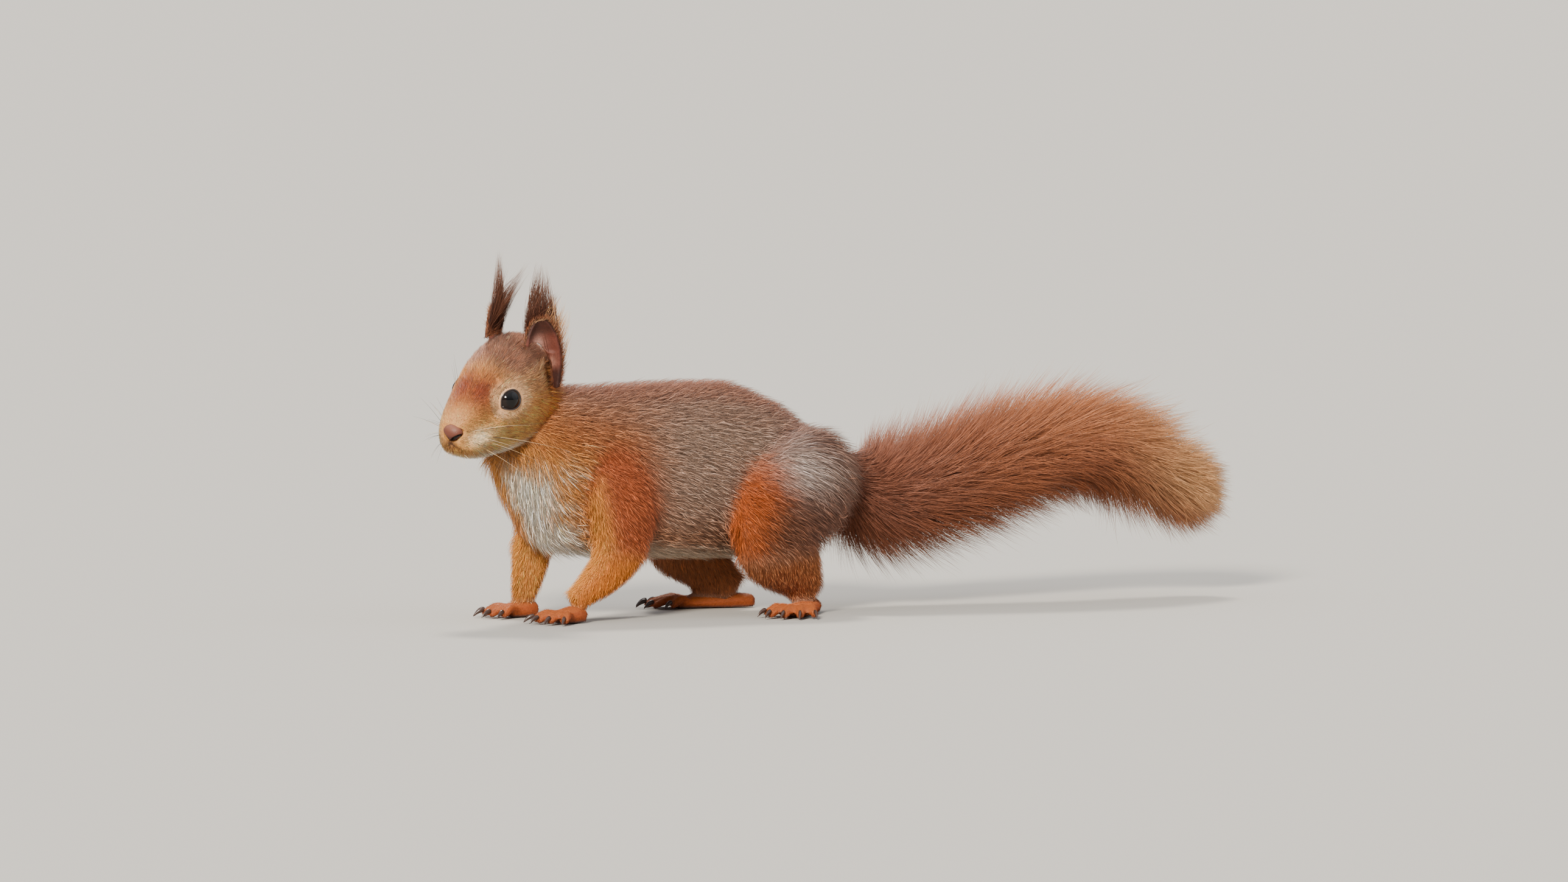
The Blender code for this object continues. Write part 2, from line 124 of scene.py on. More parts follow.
card, card_nodes = material("matt_pale_card")
card_fibre = pattern(card_nodes, "ShaderNodeTexNoise", {"Scale": 900.0, "Detail": 3.0})
card_bumps = bumps(card_nodes, card_fibre.outputs["Fac"], 0.04, 0.0002)
surface(card_nodes, {"Base Color": (*linear("A9A59E"), 1), "Roughness": 0.85}, {"Normal": card_bumps})

FLOOR_REACH = 40  # metres
floor_shape = bmesh.new()
bmesh.ops.create_circle(floor_shape, cap_ends=True, segments=64, radius=FLOOR_REACH)
floor_mesh = bpy.data.meshes.new("studio_floor")
floor_shape.to_mesh(floor_mesh)
floor_shape.free()
floor_mesh.materials.append(card)
studio_floor = bpy.data.objects.new("studio_floor", floor_mesh)
scene.collection.objects.link(studio_floor)


def sun(name, aim_from, strength, colour, softness):
    """A far soft light; `aim_from` is where it stands and `softness` its width in degrees."""
    data = bpy.data.lights.new(name, "SUN")
    data.energy, data.color, data.angle = strength, colour, math.radians(softness)
    lamp = bpy.data.objects.new(name, data)
    lamp.rotation_euler = Vector(aim_from).to_track_quat("Z", "Y").to_euler()
    scene.collection.objects.link(lamp)


sun("key_light", (-1.1, -1.15, 0.85), 7.2, (1.0, 0.93, 0.82), 12)
sun("rim_light", (0.35, 0.8, 1.3), 3.0, (1.0, 0.93, 0.84), 10)
sun("side_fill", (1.0, -0.7, 0.5), 0.4, (0.95, 0.97, 1.0), 60)
sky = bpy.data.worlds.new("studio_sky")
sky.use_nodes = True
sky_light = sky.node_tree.nodes["Background"]
sky_way = add(sky.node_tree, "ShaderNodeTexCoord")
sky_height = add(sky.node_tree, "ShaderNodeSeparateXYZ", links={0: sky_way.outputs["Generated"]})
sky_dome = add(
    sky.node_tree,
    "ShaderNodeMapRange",
    {"From Min": 0.1, "From Max": 0.75, "To Min": 0.4, "To Max": 1.2},
    {"Value": sky_height.outputs["Z"]},
)
sky_light.inputs["Color"].default_value = (0.9, 0.94, 1.0, 1)
sky.node_tree.links.new(sky_dome.outputs["Result"], sky_light.inputs["Strength"])
scene.world = sky


# ---------------------------------------------------------------- where things are
# The head's own frame comes from the eyeballs and the nose pad, and the body's from the chest
# and the end of the tail, so that every piece below sits where the solids are.


def unit(v):
    v = np.asarray(v, float)
    return v / np.maximum(np.linalg.norm(v, axis=-1, keepdims=True), 1e-12)


def middle_of(node):
    low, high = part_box(node)
    return np.array((low + high) / 2) / MM


def smooth_step(low, high, value):
    t = np.clip((np.asarray(value, float) - low) / (high - low), 0, 1)
    return t * t * (3 - 2 * t)


NOSE_AHEAD, NOSE_BELOW, EYES_AHEAD = 23.2, 9.2, 2.2
eye_left, eye_right, nose_pad_at = (middle_of(n) for n in ("eye_left", "eye_right", "nose"))
between_eyes = (eye_left + eye_right) / 2
LEFT = unit(eye_left - eye_right)
to_nose = nose_pad_at - between_eyes
to_nose = unit(to_nose - LEFT * (to_nose @ LEFT))
nose_dip = math.atan2(NOSE_BELOW, NOSE_AHEAD)
FORWARD = to_nose * math.cos(nose_dip) + np.cross(to_nose, LEFT) * math.sin(nose_dip)
UP = np.cross(FORWARD, LEFT)
HEAD_AT = between_eyes - FORWARD * EYES_AHEAD


def on_head(forward, left, up):
    """Places in the head's frame as millimetres in the animal's."""
    spread = np.multiply.outer
    return HEAD_AT + spread(forward, FORWARD) + spread(left, LEFT) + spread(up, UP)


def head_frame(points):
    """Points in the head's frame: forward, left and up, in millimetres."""
    return (np.asarray(points) - HEAD_AT) @ np.array([FORWARD, LEFT, UP]).T


BODY_LENGTH_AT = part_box("tail_5")[1].x / MM - 237.27  # body places count from the shoulder blades
BODY_MIDDLE_AT = middle_of("loin")[1]


def body_frame(points):
    """Points as distance behind the shoulders, to the right of the spine, and above the floor."""
    x, y, z = np.asarray(points).T
    return x - BODY_LENGTH_AT, y - BODY_MIDDLE_AT, z


# ---------------------------------------------------------------- skin of the body
# Under the coat one skin covers neck, trunk, limbs and the thin tail bone. It is the outer form
# of the animal sunk by the depth of its coat, with every joint between the solids closed.

CLOSES = 0.45  # how far each solid grows so that neighbours run together, in millimetres


def merged(node, grow=0.0):
    """A CAD node's points and faces with its doubles merged, grown along its normals."""
    shell = bmesh.new()
    shell.from_mesh(nodes[node].data)
    bmesh.ops.remove_doubles(shell, verts=shell.verts, dist=0.02 * MM)
    shell.normal_update()
    points = np.array([v.co + v.normal * grow * MM for v in shell.verts]) / MM
    faces = [[v.index for v in f.verts] for f in shell.faces]
    shell.free()
    return points, faces


def joined(parts):
    """Several (points, faces) as one."""
    points, faces, start = [], [], 0
    for their_points, their_faces in parts:
        points.append(their_points)
        faces += [[i + start for i in face] for face in their_faces]
        start += len(their_points)
    return np.vstack(points), faces


def mesh_from(name, points, faces):
    mesh = bpy.data.meshes.new(name)
    mesh.from_pydata((np.asarray(points) * MM).tolist(), [], faces)
    return mesh


def worked(points, faces, *steps):
    """The shape after the given modifiers, as points and faces."""
    obj = bpy.data.objects.new("worked", mesh_from("worked", points, faces))
    scene.collection.objects.link(obj)
    for kind, settings in steps:
        made = obj.modifiers.new(kind, kind)
        for key, value in settings.items():
            setattr(made, key, value)
    result = bpy.data.meshes.new_from_object(obj.evaluated_get(bpy.context.evaluated_depsgraph_get()))
    found = np.empty(len(result.vertices) * 3)
    result.vertices.foreach_get("co", found)
    corners = [list(p.vertices) for p in result.polygons]
    bpy.data.objects.remove(obj)
    bpy.data.meshes.remove(result)
    return found.reshape(-1, 3) / MM, corners


def voxels(size):
    return ("REMESH", {"mode": "VOXEL", "voxel_size": size * MM})


def soften(times, factor=0.5):
    return ("SMOOTH", {"iterations": times, "factor": factor})


def triangles_of(faces):
    """The faces as an array of triangles."""
    made = []
    for face in faces:
        made += [(face[0], face[i], face[i + 1]) for i in range(1, len(face) - 1)]
    return np.array(made)


def normals_of(points, triangles):
    """Smooth vertex normals."""
    a, b, c = (points[triangles[:, i]] for i in range(3))
    face = np.cross(b - a, c - a)
    total = np.zeros_like(points)
    for i in range(3):
        np.add.at(total, triangles[:, i], face)
    return unit(total)


def averaged(values, triangles, times):
    """Values at the points, each blended with its neighbours a number of times."""
    edges = np.vstack([triangles[:, [0, 1]], triangles[:, [1, 2]], triangles[:, [2, 0]]])
    edges = np.vstack([edges, edges[:, ::-1]])
    count = np.bincount(edges[:, 0], minlength=len(values)).astype(float)
    for _ in range(times):
        total = np.bincount(edges[:, 0], weights=values[edges[:, 1]], minlength=len(values))
        values = 0.5 * values + 0.5 * total / np.maximum(count, 1)
    return values


# The tail's line of bone: behind the shoulders, above the floor, half height and half width of
# the whole brush there.
TAIL_LINE = [
    (40, 60, 10, 9),
    (56.5, 51, 15, 11),
    (66, 46, 23.5, 16.5),
    (82, 46.8, 28.6, 21.2),
    (101, 50.4, 31, 24.2),
    (119, 56, 31, 25.5),
    (137, 60.5, 30.5, 26),
    (155, 64.5, 28.5, 26),
    (173, 64.5, 27.5, 25.5),
    (188, 59.5, 27, 25),
    (202, 51.5, 26.5, 23.5),
    (215, 45.5, 23, 20.5),
    (226, 41.5, 17.5, 15),
    (233, 39, 9.5, 8),
    (236.5, 38, 3, 2.5),
]


def along(rows, at):
    """Rows of a line read at fractional steps along it, on a Catmull-Rom curve."""
    rows = np.asarray(rows, float)
    ends = np.vstack([2 * rows[0] - rows[1], rows, 2 * rows[-1] - rows[-2]])
    at = np.clip(np.asarray(at, float), 0, len(rows) - 1.0001)
    i = at.astype(int)
    f = (at - i)[:, None]
    a, b, c, d = ends[i], ends[i + 1], ends[i + 2], ends[i + 3]
    curve = 2 * b + (c - a) * f + (2 * a - 5 * b + 4 * c - d) * f**2
    return 0.5 * (curve + (3 * b - a - 3 * c + d) * f**3)


def tail_at(steps):
    """Middle, direction, up, half height and half width of the tail at steps along it."""
    rows, ahead = along(TAIL_LINE, steps), along(TAIL_LINE, np.asarray(steps) + 0.02)
    y = np.full(len(rows), BODY_MIDDLE_AT)
    middle = np.stack([rows[:, 0] + BODY_LENGTH_AT, y, rows[:, 1]], 1)
    way = unit(np.stack([ahead[:, 0] - rows[:, 0], 0 * y, ahead[:, 1] - rows[:, 1]], 1))
    up = np.stack([-way[:, 2], 0 * y, way[:, 0]], 1)
    return middle, way, up, rows[:, 2], rows[:, 3]


TAIL_BONE_ENDS, TAIL_BONE_RINGS = 10.8, 40
TAIL_BONE_THICK, TAIL_BONE_THINS, TAIL_BONE_SIDES = 4.6, 0.55, 12


def tail_bone():
    """A tapering tube along the tail's line, from inside the rump."""
    middle, _, up, _, _ = tail_at(np.linspace(0, TAIL_BONE_ENDS, TAIL_BONE_RINGS))
    n = TAIL_BONE_SIDES
    points = []
    for i, centre in enumerate(middle):
        thick = TAIL_BONE_THICK * (1 - TAIL_BONE_THINS * i / TAIL_BONE_RINGS)
        for turn in np.linspace(0, 2 * math.pi, n, endpoint=False):
            points.append(centre + thick * (up[i] * math.cos(turn) + np.array([0, math.sin(turn), 0])))
    faces = [
        [i * n + j, i * n + (j + 1) % n, (i + 1) * n + (j + 1) % n, (i + 1) * n + j]
        for i in range(TAIL_BONE_RINGS - 1)
        for j in range(n)
    ]
    faces += [list(range(n))[::-1], [(TAIL_BONE_RINGS - 1) * n + j for j in range(n)]]
    return np.array(points), faces


SIDES = ("left", "right")
TRUNK = ("neck", "chest", "loin", "rump")
LIMBS = tuple(f"{part}_{side}" for part in ("upper_arm", "forearm", "thigh", "shank") for side in SIDES)
PAWS = tuple(f"{part}_{side}" for part in ("forepaw", "hindfoot") for side in SIDES)
BODY_NODES = TRUNK + LIMBS + PAWS + ("head",)
# How deep the coat is over each part, in millimetres.
COAT_DEPTH = {
    "neck": 5.0,
    "chest": 5.2,
    "loin": 5.0,
    "rump": 5.4,
    "upper_arm": 4.0,
    "forearm": 2.1,
    "thigh": 4.6,
    "shank": 3.0,
    "forepaw": 1.6,
    "hindfoot": 1.6,
    "head": 3.0,
}


def part_finder(names):
    """A tree over the named solids, and the index of the solid that each of its faces is on."""
    points, faces = joined([merged(n) for n in names])
    owner = np.concatenate([[i] * len(merged(n)[1]) for i, n in enumerate(names)])
    return BVHTree.FromPolygons(points.tolist(), faces), owner


body_finder, body_owner = part_finder(BODY_NODES)


def nearest_part(points):
    return np.array([body_owner[body_finder.find_nearest(Vector(p))[2]] for p in points])


BODY_VOXEL, BODY_WITH_TAIL_VOXEL = 1.3, 1.4
grown_body = joined([merged(n, CLOSES) for n in BODY_NODES])
points, faces = worked(*grown_body, voxels(BODY_VOXEL), soften(6))
tris = triangles_of(faces)
depths = np.array([COAT_DEPTH[n.rsplit("_", 1)[0] if n not in TRUNK else n] for n in BODY_NODES])
depth = averaged(depths[nearest_part(points)], tris, 12)
points = points - normals_of(points, tris) * (depth + CLOSES)[:, None]
with_tail = joined([(points, faces), tail_bone()])
body_points, body_faces = worked(*with_tail, voxels(BODY_WITH_TAIL_VOXEL), soften(4))
# The croup falls evenly to the root of the tail: behind the shoulders, height of the coat.
CROUP = np.array([(0, 97.5), (9.6, 95.2), (27.7, 84.2), (42.5, 72.8), (58.6, 64.5)])
croup_top = np.interp(body_frame(body_points)[0], *CROUP.T) - COAT_DEPTH["rump"]
past_croup = np.maximum(body_points[:, 2] - croup_top, 0)
body_points[:, 2] = np.clip(body_points[:, 2], 0.9, croup_top + 0.15 * past_croup)
# Inside the face it draws back, well under the finer skin there.
from_head = head_frame(body_points)
in_face = smooth_step(-18, -8, from_head[:, 0]) * smooth_step(-20, -15, from_head[:, 2])
in_face *= smooth_step(36, 32, np.linalg.norm(from_head, axis=1))
DRAWN_BACK = 0.2  # of the way to the middle of the head
body_points += (HEAD_AT - body_points) * (DRAWN_BACK * in_face)[:, None]


# ---------------------------------------------------------------- skin of the head
# The face is worked finely: lids close round each eye, nostrils and a split lip sit under the
# nose pad, and the cheeks fall away behind the whiskers.

HEAD_VOXEL = 0.65
HEAD_DEPTH = 0.95
EYE_RADIUS = 5.45
# How much deeper and further back each ball sits than its solid.
EYE_SUNK, EYE_BACK = {1: 0.9, -1: 1.35}, 1.0
LID_OPENING = math.radians(50)  # from the eye's axis to the edge of the lids
LID_THICK = 0.15
# How far forward each eye looks, and how wide it opens.
LOOKS = {1: (0.36, 1.0), -1: (0.08, 0.92)}


def eye_axis(side):
    """The way an eye looks: outwards and a little up."""
    return unit(LEFT * side * 0.9 + FORWARD * LOOKS[side][0] + UP * 0.3)


EYES = tuple(
    (side, ball - eye_axis(side) * EYE_SUNK[side] - FORWARD * EYE_BACK)
    for side, ball in ((1, eye_left), (-1, eye_right))
)


def lid_angle(points, centre, side):
    """How far each point is from an eye's axis, stretched so the opening is an almond whose
    inner corner points forward and down, as a fraction of the opening."""
    axis = eye_axis(side)
    rel = unit(points - centre)
    ahead = unit(FORWARD - axis * (FORWARD @ axis))
    over = np.cross(ahead, axis) * side
    away = np.arccos(np.clip(rel @ axis, -1, 1))
    around = np.arctan2(rel @ over, rel @ ahead)
    corner = np.exp(-(((around + math.radians(22)) / 0.3) ** 2))
    opens = LID_OPENING * LOOKS[side][1]
    return away / (opens * (1 + 0.16 * corner) * (1.06 - 0.2 * np.sin(around) ** 2))


points, faces = worked(*merged("head", 0.1), voxels(HEAD_VOXEL), soften(11))
tris = triangles_of(faces)
normals = normals_of(points, tris)
where = head_frame(points)
thin = smooth_step(8, 24, where[:, 0])
crown = smooth_step(8, 16, where[:, 2]) * smooth_step(6, -6, where[:, 0])
points = points - normals * (HEAD_DEPTH - 0.4 * thin + 1.5 * crown)[:, None]
# The opening of each ear is a hollow in the side of the skull.
mirrored = np.stack([where[:, 0], np.abs(where[:, 1]), where[:, 2]], 1)
hollow = ((mirrored - [-21.0, 16.0, 3.5]) / [4.4, 9, 6.2]) ** 2
points = points - normals * (4.6 * np.exp(-hollow.sum(1)))[:, None]

for side, centre in EYES:
    rel = points - centre
    away = np.linalg.norm(rel, axis=1)
    opening = lid_angle(points, centre, side)
    near = 1 - smooth_step(1.15, 1.6, opening)
    axis = eye_axis(side)
    ahead = rel @ axis > 0
    lid = EYE_RADIUS + LID_THICK
    inside = smooth_step(1.0, 1.1, opening)
    target = centre + unit(rel) * (lid * inside + (EYE_RADIUS - 1.0) * (1 - inside))[:, None]
    pull = (near * ahead)[:, None]
    points = points * (1 - pull) + target * pull


def off_line(places, path):
    """How far each place is from a line through several others."""
    line, best = np.array(path, float), np.full(len(places), 1e9)
    for a, b in zip(line, line[1:]):
        t = np.clip(((places - a) @ (b - a)) / ((b - a) @ (b - a)), 0, 1)
        best = np.minimum(best, np.linalg.norm(places - (a + t[:, None] * (b - a)), axis=1))
    return best


def groove(path, width, deep):
    """How far the head's skin moves where it sinks beside a line of places."""
    return normals * (deep * np.exp(-((off_line(where, path) / width) ** 2)))[:, None]


# The skin round the nose pad is drawn in under it, so that no gap shows.
NOSE_WIDTHS = (3.1, 4.45, 3.65)


def pad_narrows(up):
    """How narrow the nose pad is at a height from -1 to 1."""
    return 1 - 0.3 * smooth_step(0.2, -1.0, up)


NOSE_MIDDLE = nose_pad_at - FORWARD * 0.8


def pad_share(points):
    """How far each point is from the middle of the nose pad, where its own edge is 1."""
    place = (points - NOSE_MIDDLE) @ np.array([FORWARD, LEFT, UP]).T / NOSE_WIDTHS
    place[:, 1] /= pad_narrows(place[:, 2])
    return np.linalg.norm(place, axis=1)


share = pad_share(points)
tucked = smooth_step(1.22, 0.98, share) * (1 - np.minimum(0.94 / np.maximum(share, 0.3), 1))
points = points - (points - NOSE_MIDDLE) * tucked[:, None]
eased = np.stack([averaged(points[:, k], tris, 8) for k in range(3)], 1)
points = points + (eased - points) * smooth_step(1.7, 1.35, share)[:, None]

LIP = ((26.2, 0, -13.6), (25.4, 2.6, -15.2), (22.5, 6.0, -16.6), (18.0, 8.8, -17.2), (13, 10.6, -17.0))
MOUTH = {side: [(ahead, side * out, up) for ahead, out, up in LIP] for side in (1, -1)}
for side in (1, -1):
    points = points - groove(MOUTH[side], 0.7, 0.9)
points = points - groove([(27.2, 0, -10.5), (26.4, 0, -13.8)], 0.55, 0.7)
head_points, head_faces = points, faces


# ---------------------------------------------------------------- skin of the paws
# Each toe is worked finely enough to stand apart, with the palm flat where it bears.

PAW_VOXEL, PAW_DEPTH = 0.55, 0.35
paw_parts = []
for name in PAWS:
    points, faces = worked(*merged(name), voxels(PAW_VOXEL), soften(6))
    tris = triangles_of(faces)
    points = points - normals_of(points, tris) * PAW_DEPTH
    points[:, 2] = np.maximum(points[:, 2], 0.05)
    paw_parts.append((points, faces))


# ---------------------------------------------------------------- skin of the ears
# Thin cupped leaves of skin, open forward and outward, with a soft rolled rim.

# The ears' own frames: foot, rise, opening direction and edge direction.
EAR_FOOT, EAR_LEANS_IN, EAR_OPENS_AT = (-21.0, 15.0, 1.8), math.radians(7), math.radians(64)
# Folds of gristle inside the ear: height and distance to the rear of each end, and how proud.
EAR_FOLDS = (((14.5, -3.0), (11.0, 3.5), 0.9), ((10.5, 5.0), (3.5, 4.0), 1.1), ((8.0, -2.0), (7.0, 3.5), 1.0))


def ear_frame(side):
    """Foot, rise, way of opening, and the way to the rear edge."""
    forward, out, up = EAR_FOOT
    outward = LEFT * side
    rise = UP * math.cos(EAR_LEANS_IN) - outward * math.sin(EAR_LEANS_IN)
    opening = FORWARD * math.cos(EAR_OPENS_AT) + outward * math.sin(EAR_OPENS_AT)
    opening = unit(opening - rise * (opening @ rise))
    return on_head(forward, side * out, up), rise, opening, np.cross(rise, opening) * side


def ear_places(points, side):
    """Height up the ear and distance to the rear of its middle."""
    foot, rise, _, rear = ear_frame(side)
    return (points - foot) @ rise, (points - foot) @ rear


EAR_GROWS, EAR_VOXEL, EAR_DEPTH, FOLD_WIDE = 0.35, 0.45, 0.2, 0.9
ear_parts = []
for name, side in zip(SIDES, (1, -1)):
    points, faces = worked(*merged(f"ear_{name}", EAR_GROWS), voxels(EAR_VOXEL), soften(4))
    normals = normals_of(points, triangles_of(faces))
    points = points - normals * EAR_DEPTH
    opening = ear_frame(side)[2]
    facing_in = smooth_step(0.1, 0.6, normals @ opening)
    place = np.stack(ear_places(points, side), 1)
    for start, end, proud in EAR_FOLDS:
        start, run = np.array(start), np.array(end) - np.array(start)
        share = np.clip((place - start) @ run / (run @ run), 0, 1)
        off = np.linalg.norm(place - start - share[:, None] * run, axis=1)
        points = points + opening * (proud * facing_in * np.exp(-((off / FOLD_WIDE) ** 2)))[:, None]
    ear_parts.append((points, faces))


# ---------------------------------------------------------------- markings
# Grey-brown back, orange cheeks, shoulders and limbs, white throat and belly, and a tail that runs from dark
# brown at its root to sand at its end. Skin and coat both wear these colours. Light and shade are painted in
# as well: painted sunlight on the cheeks and the fronts of the forelegs, painted shade on the belly, under
# the tail, along the lip, in the nostrils and inside the ears, a painted paler top to the nose pad and the
# tail, and painted highlights inside the ears.


def blend(base, colour, amount):
    """The base colours moved towards one colour, or several, by an amount for each point."""
    colour = np.asarray(linear(colour) if isinstance(colour, str) else colour)
    return base + (colour - base) * np.clip(amount, 0, 1)[:, None]


def painted(colour, *layers):
    """The base colours under further colours, laid on in turn by their amounts."""
    for code, amount in layers:
        colour = blend(colour, code, amount)
    return colour


def spot(places, centre, radii):
    """1 at the middle of a soft oval patch, falling to 0 outside it."""
    return np.exp(-(((np.asarray(places) - centre) / radii) ** 2).sum(1))


def body_weights(points, tris):
    """How far each point belongs to each kind of part, softened over the seams."""
    part = nearest_part(points)
    kinds = sorted({n.rsplit("_", 1)[0] if n not in TRUNK else n for n in BODY_NODES})
    owner = np.array([kinds.index(n.rsplit("_", 1)[0] if n not in TRUNK else n) for n in BODY_NODES])
    return {kind: averaged((owner[part] == i).astype(float), tris, 14) for i, kind in enumerate(kinds)}, part


def body_colours(points, normals, weight):
    behind, right, above = body_frame(points)
    up = normals[:, 2]
    side_view = np.stack([behind, above], 1)
    trunk = weight["chest"] + weight["loin"] + weight["rump"]
    fore = weight["forearm"] + weight["upper_arm"]
    fold = np.interp(above, [30, 40, 52, 62, 68], [-3, -1, 9, 11, 6])
    before_fold = smooth_step(fold + 9, fold - 7, behind)
    # The bib: its near and far edges, right of the spine at heights above the floor.
    near_edge = np.interp(above, [30, 36, 50, 61], [-9, -11.5, -15, -15])
    far_edge = np.interp(above, [26, 33, 42, 52, 62], [13, 10, -1.7, -3.3, -3])
    beside = np.maximum(near_edge - right, right - far_edge)
    front = smooth_step(0.55, 0.2, up) * smooth_step(-66, -72, behind)
    front *= np.clip(1 - weight["upper_arm"] - 1.2 * weight["forearm"], 0, 1)
    bib = smooth_step(1.2, -1.5, beside) * front * smooth_step(70, 62, above)
    under = smooth_step(13, 8, np.abs(right + 5)) * smooth_step(-50, -70, behind) * smooth_step(34, 28, above)
    under *= np.clip(1 - 1.2 * weight["forearm"], 0, 1)
    return painted(
        np.tile(linear("B0907C"), (len(points), 1)),
        ("94604A", smooth_step(0.3, 0.95, up)),
        ("C07038", smooth_step(-30, -66, behind) * smooth_step(0.9, 0.2, up) * 0.9),
        ("C9853F", spot(side_view, (-101, 66), (15, 17))),
        ("A06A48", smooth_step(50, 32, above) * trunk * 0.7),
        ("6F4A38", weight["rump"] * smooth_step(34, 54, behind)),
        # Pale belly fur on the trunk's underside, greyed from its own white as painted shade.
        ("C4AE98", smooth_step(-0.7, -0.95, up) * trunk),
        ("B05832", weight["upper_arm"] * 0.9),
        ("D27C30", weight["forearm"]),
        ("7E482A", weight["thigh"] * smooth_step(62, 52, above) * 0.9),
        ("7A5444", weight["thigh"] * smooth_step(0, 24, behind) * 0.8),
        ("C25C1E", weight["thigh"] * before_fold * smooth_step(70, 62, above) * 0.8),
        ("DCC8BE", spot(side_view, (19, 61), (12, 9)) * (up > -0.2) * 0.85),
        ("A8602F", weight["shank"] * 0.9),
        # The forelegs' own orange, painted brighter gold on their forward-facing sides as painted sunlight.
        ("E89A48", smooth_step(-0.2, -0.8, normals[:, 0]) * fore * 0.8),
        ("E8A85C", smooth_step(16, 9, np.abs(right)) * fore * 0.6),
        ("DE9648", smooth_step(9, 1, beside) * front * smooth_step(76, 64, above) * 0.85),
        ("FFF0DC", np.maximum(bib, under)),
    )


def head_colours(points):
    where = head_frame(points)
    ahead, out, up = where[:, 0], np.abs(where[:, 1]), where[:, 2]
    spots = np.stack([ahead, out, up], 1)
    colour = painted(
        np.tile(linear("CC8C48"), (len(points), 1)),
        ("82330C", spot(spots, (11, 4, 4), (11, 10, 10))),
        ("A46C50", smooth_step(6, -5, ahead) * smooth_step(4, 12, up)),
        ("A37A58", spot(spots, (-10, 16, 4), (8, 7, 7)) * 0.85),
        # The cheek's own golden orange, painted brighter still as painted sunlight.
        ("E4A55A", spot(spots, (12, 13, -13), (11, 8, 7))),
        ("DE9C54", spot(spots, (-6, 17, -10), (11, 8, 8)) * 0.9),
        ("DC7E2A", spot(spots, (-20, 16, -10), (9, 10, 13)) * 0.95),
        ("9C4A20", spot(spots, (-24, 17, 1), (4, 6, 5)) * 0.8),
        ("F0DCC0", smooth_step(-16.5, -19.5, up) * smooth_step(-24, -10, ahead) * 0.85),
        ("F2D2A6", spot(spots, (18, 9, -12), (6, 4, 3.4)) * 0.95),
        ("CE9462", spot(spots, (25, 0, -3), (5, 5, 4.5)) * 0.9),
    )
    for side, centre in EYES:
        opening = lid_angle(points, centre, side)
        nearby = np.linalg.norm(points - centre, axis=1) < 10
        ring = smooth_step(1.8, 1.35, opening)
        colour = blend(colour, "C89A70", ring * nearby * (0.9 if side > 0 else 0.45))
        colour = blend(colour, "1C100C", smooth_step(1.13, 1.05, opening) * nearby)
    # Painted shade: dark along the split of the lip and in the groove under the nose, where the skin is sunk.
    mouth = np.minimum(*(off_line(where, line) for line in MOUTH.values()))
    colour = blend(colour, "5A3626", np.exp(-((mouth / 0.8) ** 2)) * smooth_step(12, 22, ahead) * 0.8)
    colour = blend(colour, "3A1C16", spot(where, (27.0, 0, -13), (2.2, 2.4, 1.7)))
    # Painted shade in the sunk hollow of each ear's opening.
    hollow = np.exp(-(((spots - [-21.5, 16.0, 3.5]) / [3.4, 9, 5.2]) ** 2).sum(1))
    return blend(colour, "4A261A", np.clip(hollow * 1.5, 0, 1))


def paw_colours(points, normals):
    colour = np.tile(linear("9A4A20"), (len(points), 1))
    colour = blend(colour, "A8602E", smooth_step(0.2, 0.9, normals[:, 2]) * 0.4)
    return blend(colour, "6B4436", smooth_step(1.6, 0.8, points[:, 2]))


def ear_colours(points, normals, side):
    height, rear = ear_places(points, side)
    place = np.stack([height, rear], 1)
    inside = smooth_step(-0.1, 0.4, normals @ ear_frame(side)[2])
    colour = painted(
        np.tile(linear("7A482E"), (len(points), 1)),
        ("5C2C20", inside),
        # Painted shade: darker high inside the cup, under the rim.
        ("3E1C12", inside * smooth_step(17.5, 21.0, height)),
        # Painted shade: darker low at the front of the cup.
        ("3A1A12", inside * smooth_step(9.5, 6.0, height) * smooth_step(3.0, 0.0, rear)),
        # Painted highlight: a soft pale pink glint inside the cup.
        ("B98A7C", inside * spot(place, (15.0, -1.0), (3.6, 3.0))),
    )
    # Painted highlight along the ridge of each fold.
    for start, end, _ in EAR_FOLDS:
        middle = (np.array(start) + np.array(end)) / 2
        colour = blend(colour, "A07060", inside * spot(place, middle, (2.4, 1.6)) * 0.6)
    # Painted shade deep in the bottom of the cup.
    colour = blend(colour, "30140C", inside * smooth_step(6.5, 1.5, height))
    rim = smooth_step(0.5, 0.1, np.abs(normals @ ear_frame(side)[2])) * smooth_step(14, 18, height)
    return blend(colour, "C99A70", rim * 0.7)


def tail_colours(steps, high, depth):
    """Colours by how far along, how high round (-1 to 1) and how near the hair tips (0 to 1)."""
    colour = painted(
        np.tile(linear("82503C"), (len(steps), 1)),
        ("94583A", smooth_step(2.0, 5.5, steps)),
        # Paler gold from the middle on, the tail's own colour, kept to the upper side as painted light.
        ("B87448", smooth_step(4.5, 8.5, steps) * smooth_step(-0.4, 0.7, high)),
        ("D6A06E", smooth_step(7.5, 11.5, steps) * smooth_step(-1.2, 0.0, high)),
        # Painted shade: darker on the underside.
        ("6E3A20", smooth_step(0.1, -0.8, high) * smooth_step(12.0, 8, steps) * 0.7),
    )
    return colour * (0.5 + 0.55 * depth)[:, None]


# ---------------------------------------------------------------- skin
# Soft hide with a short felt of undercoat, darker than the hair tips over it. The pieces above
# are one skin, which stands for every solid of flesh.

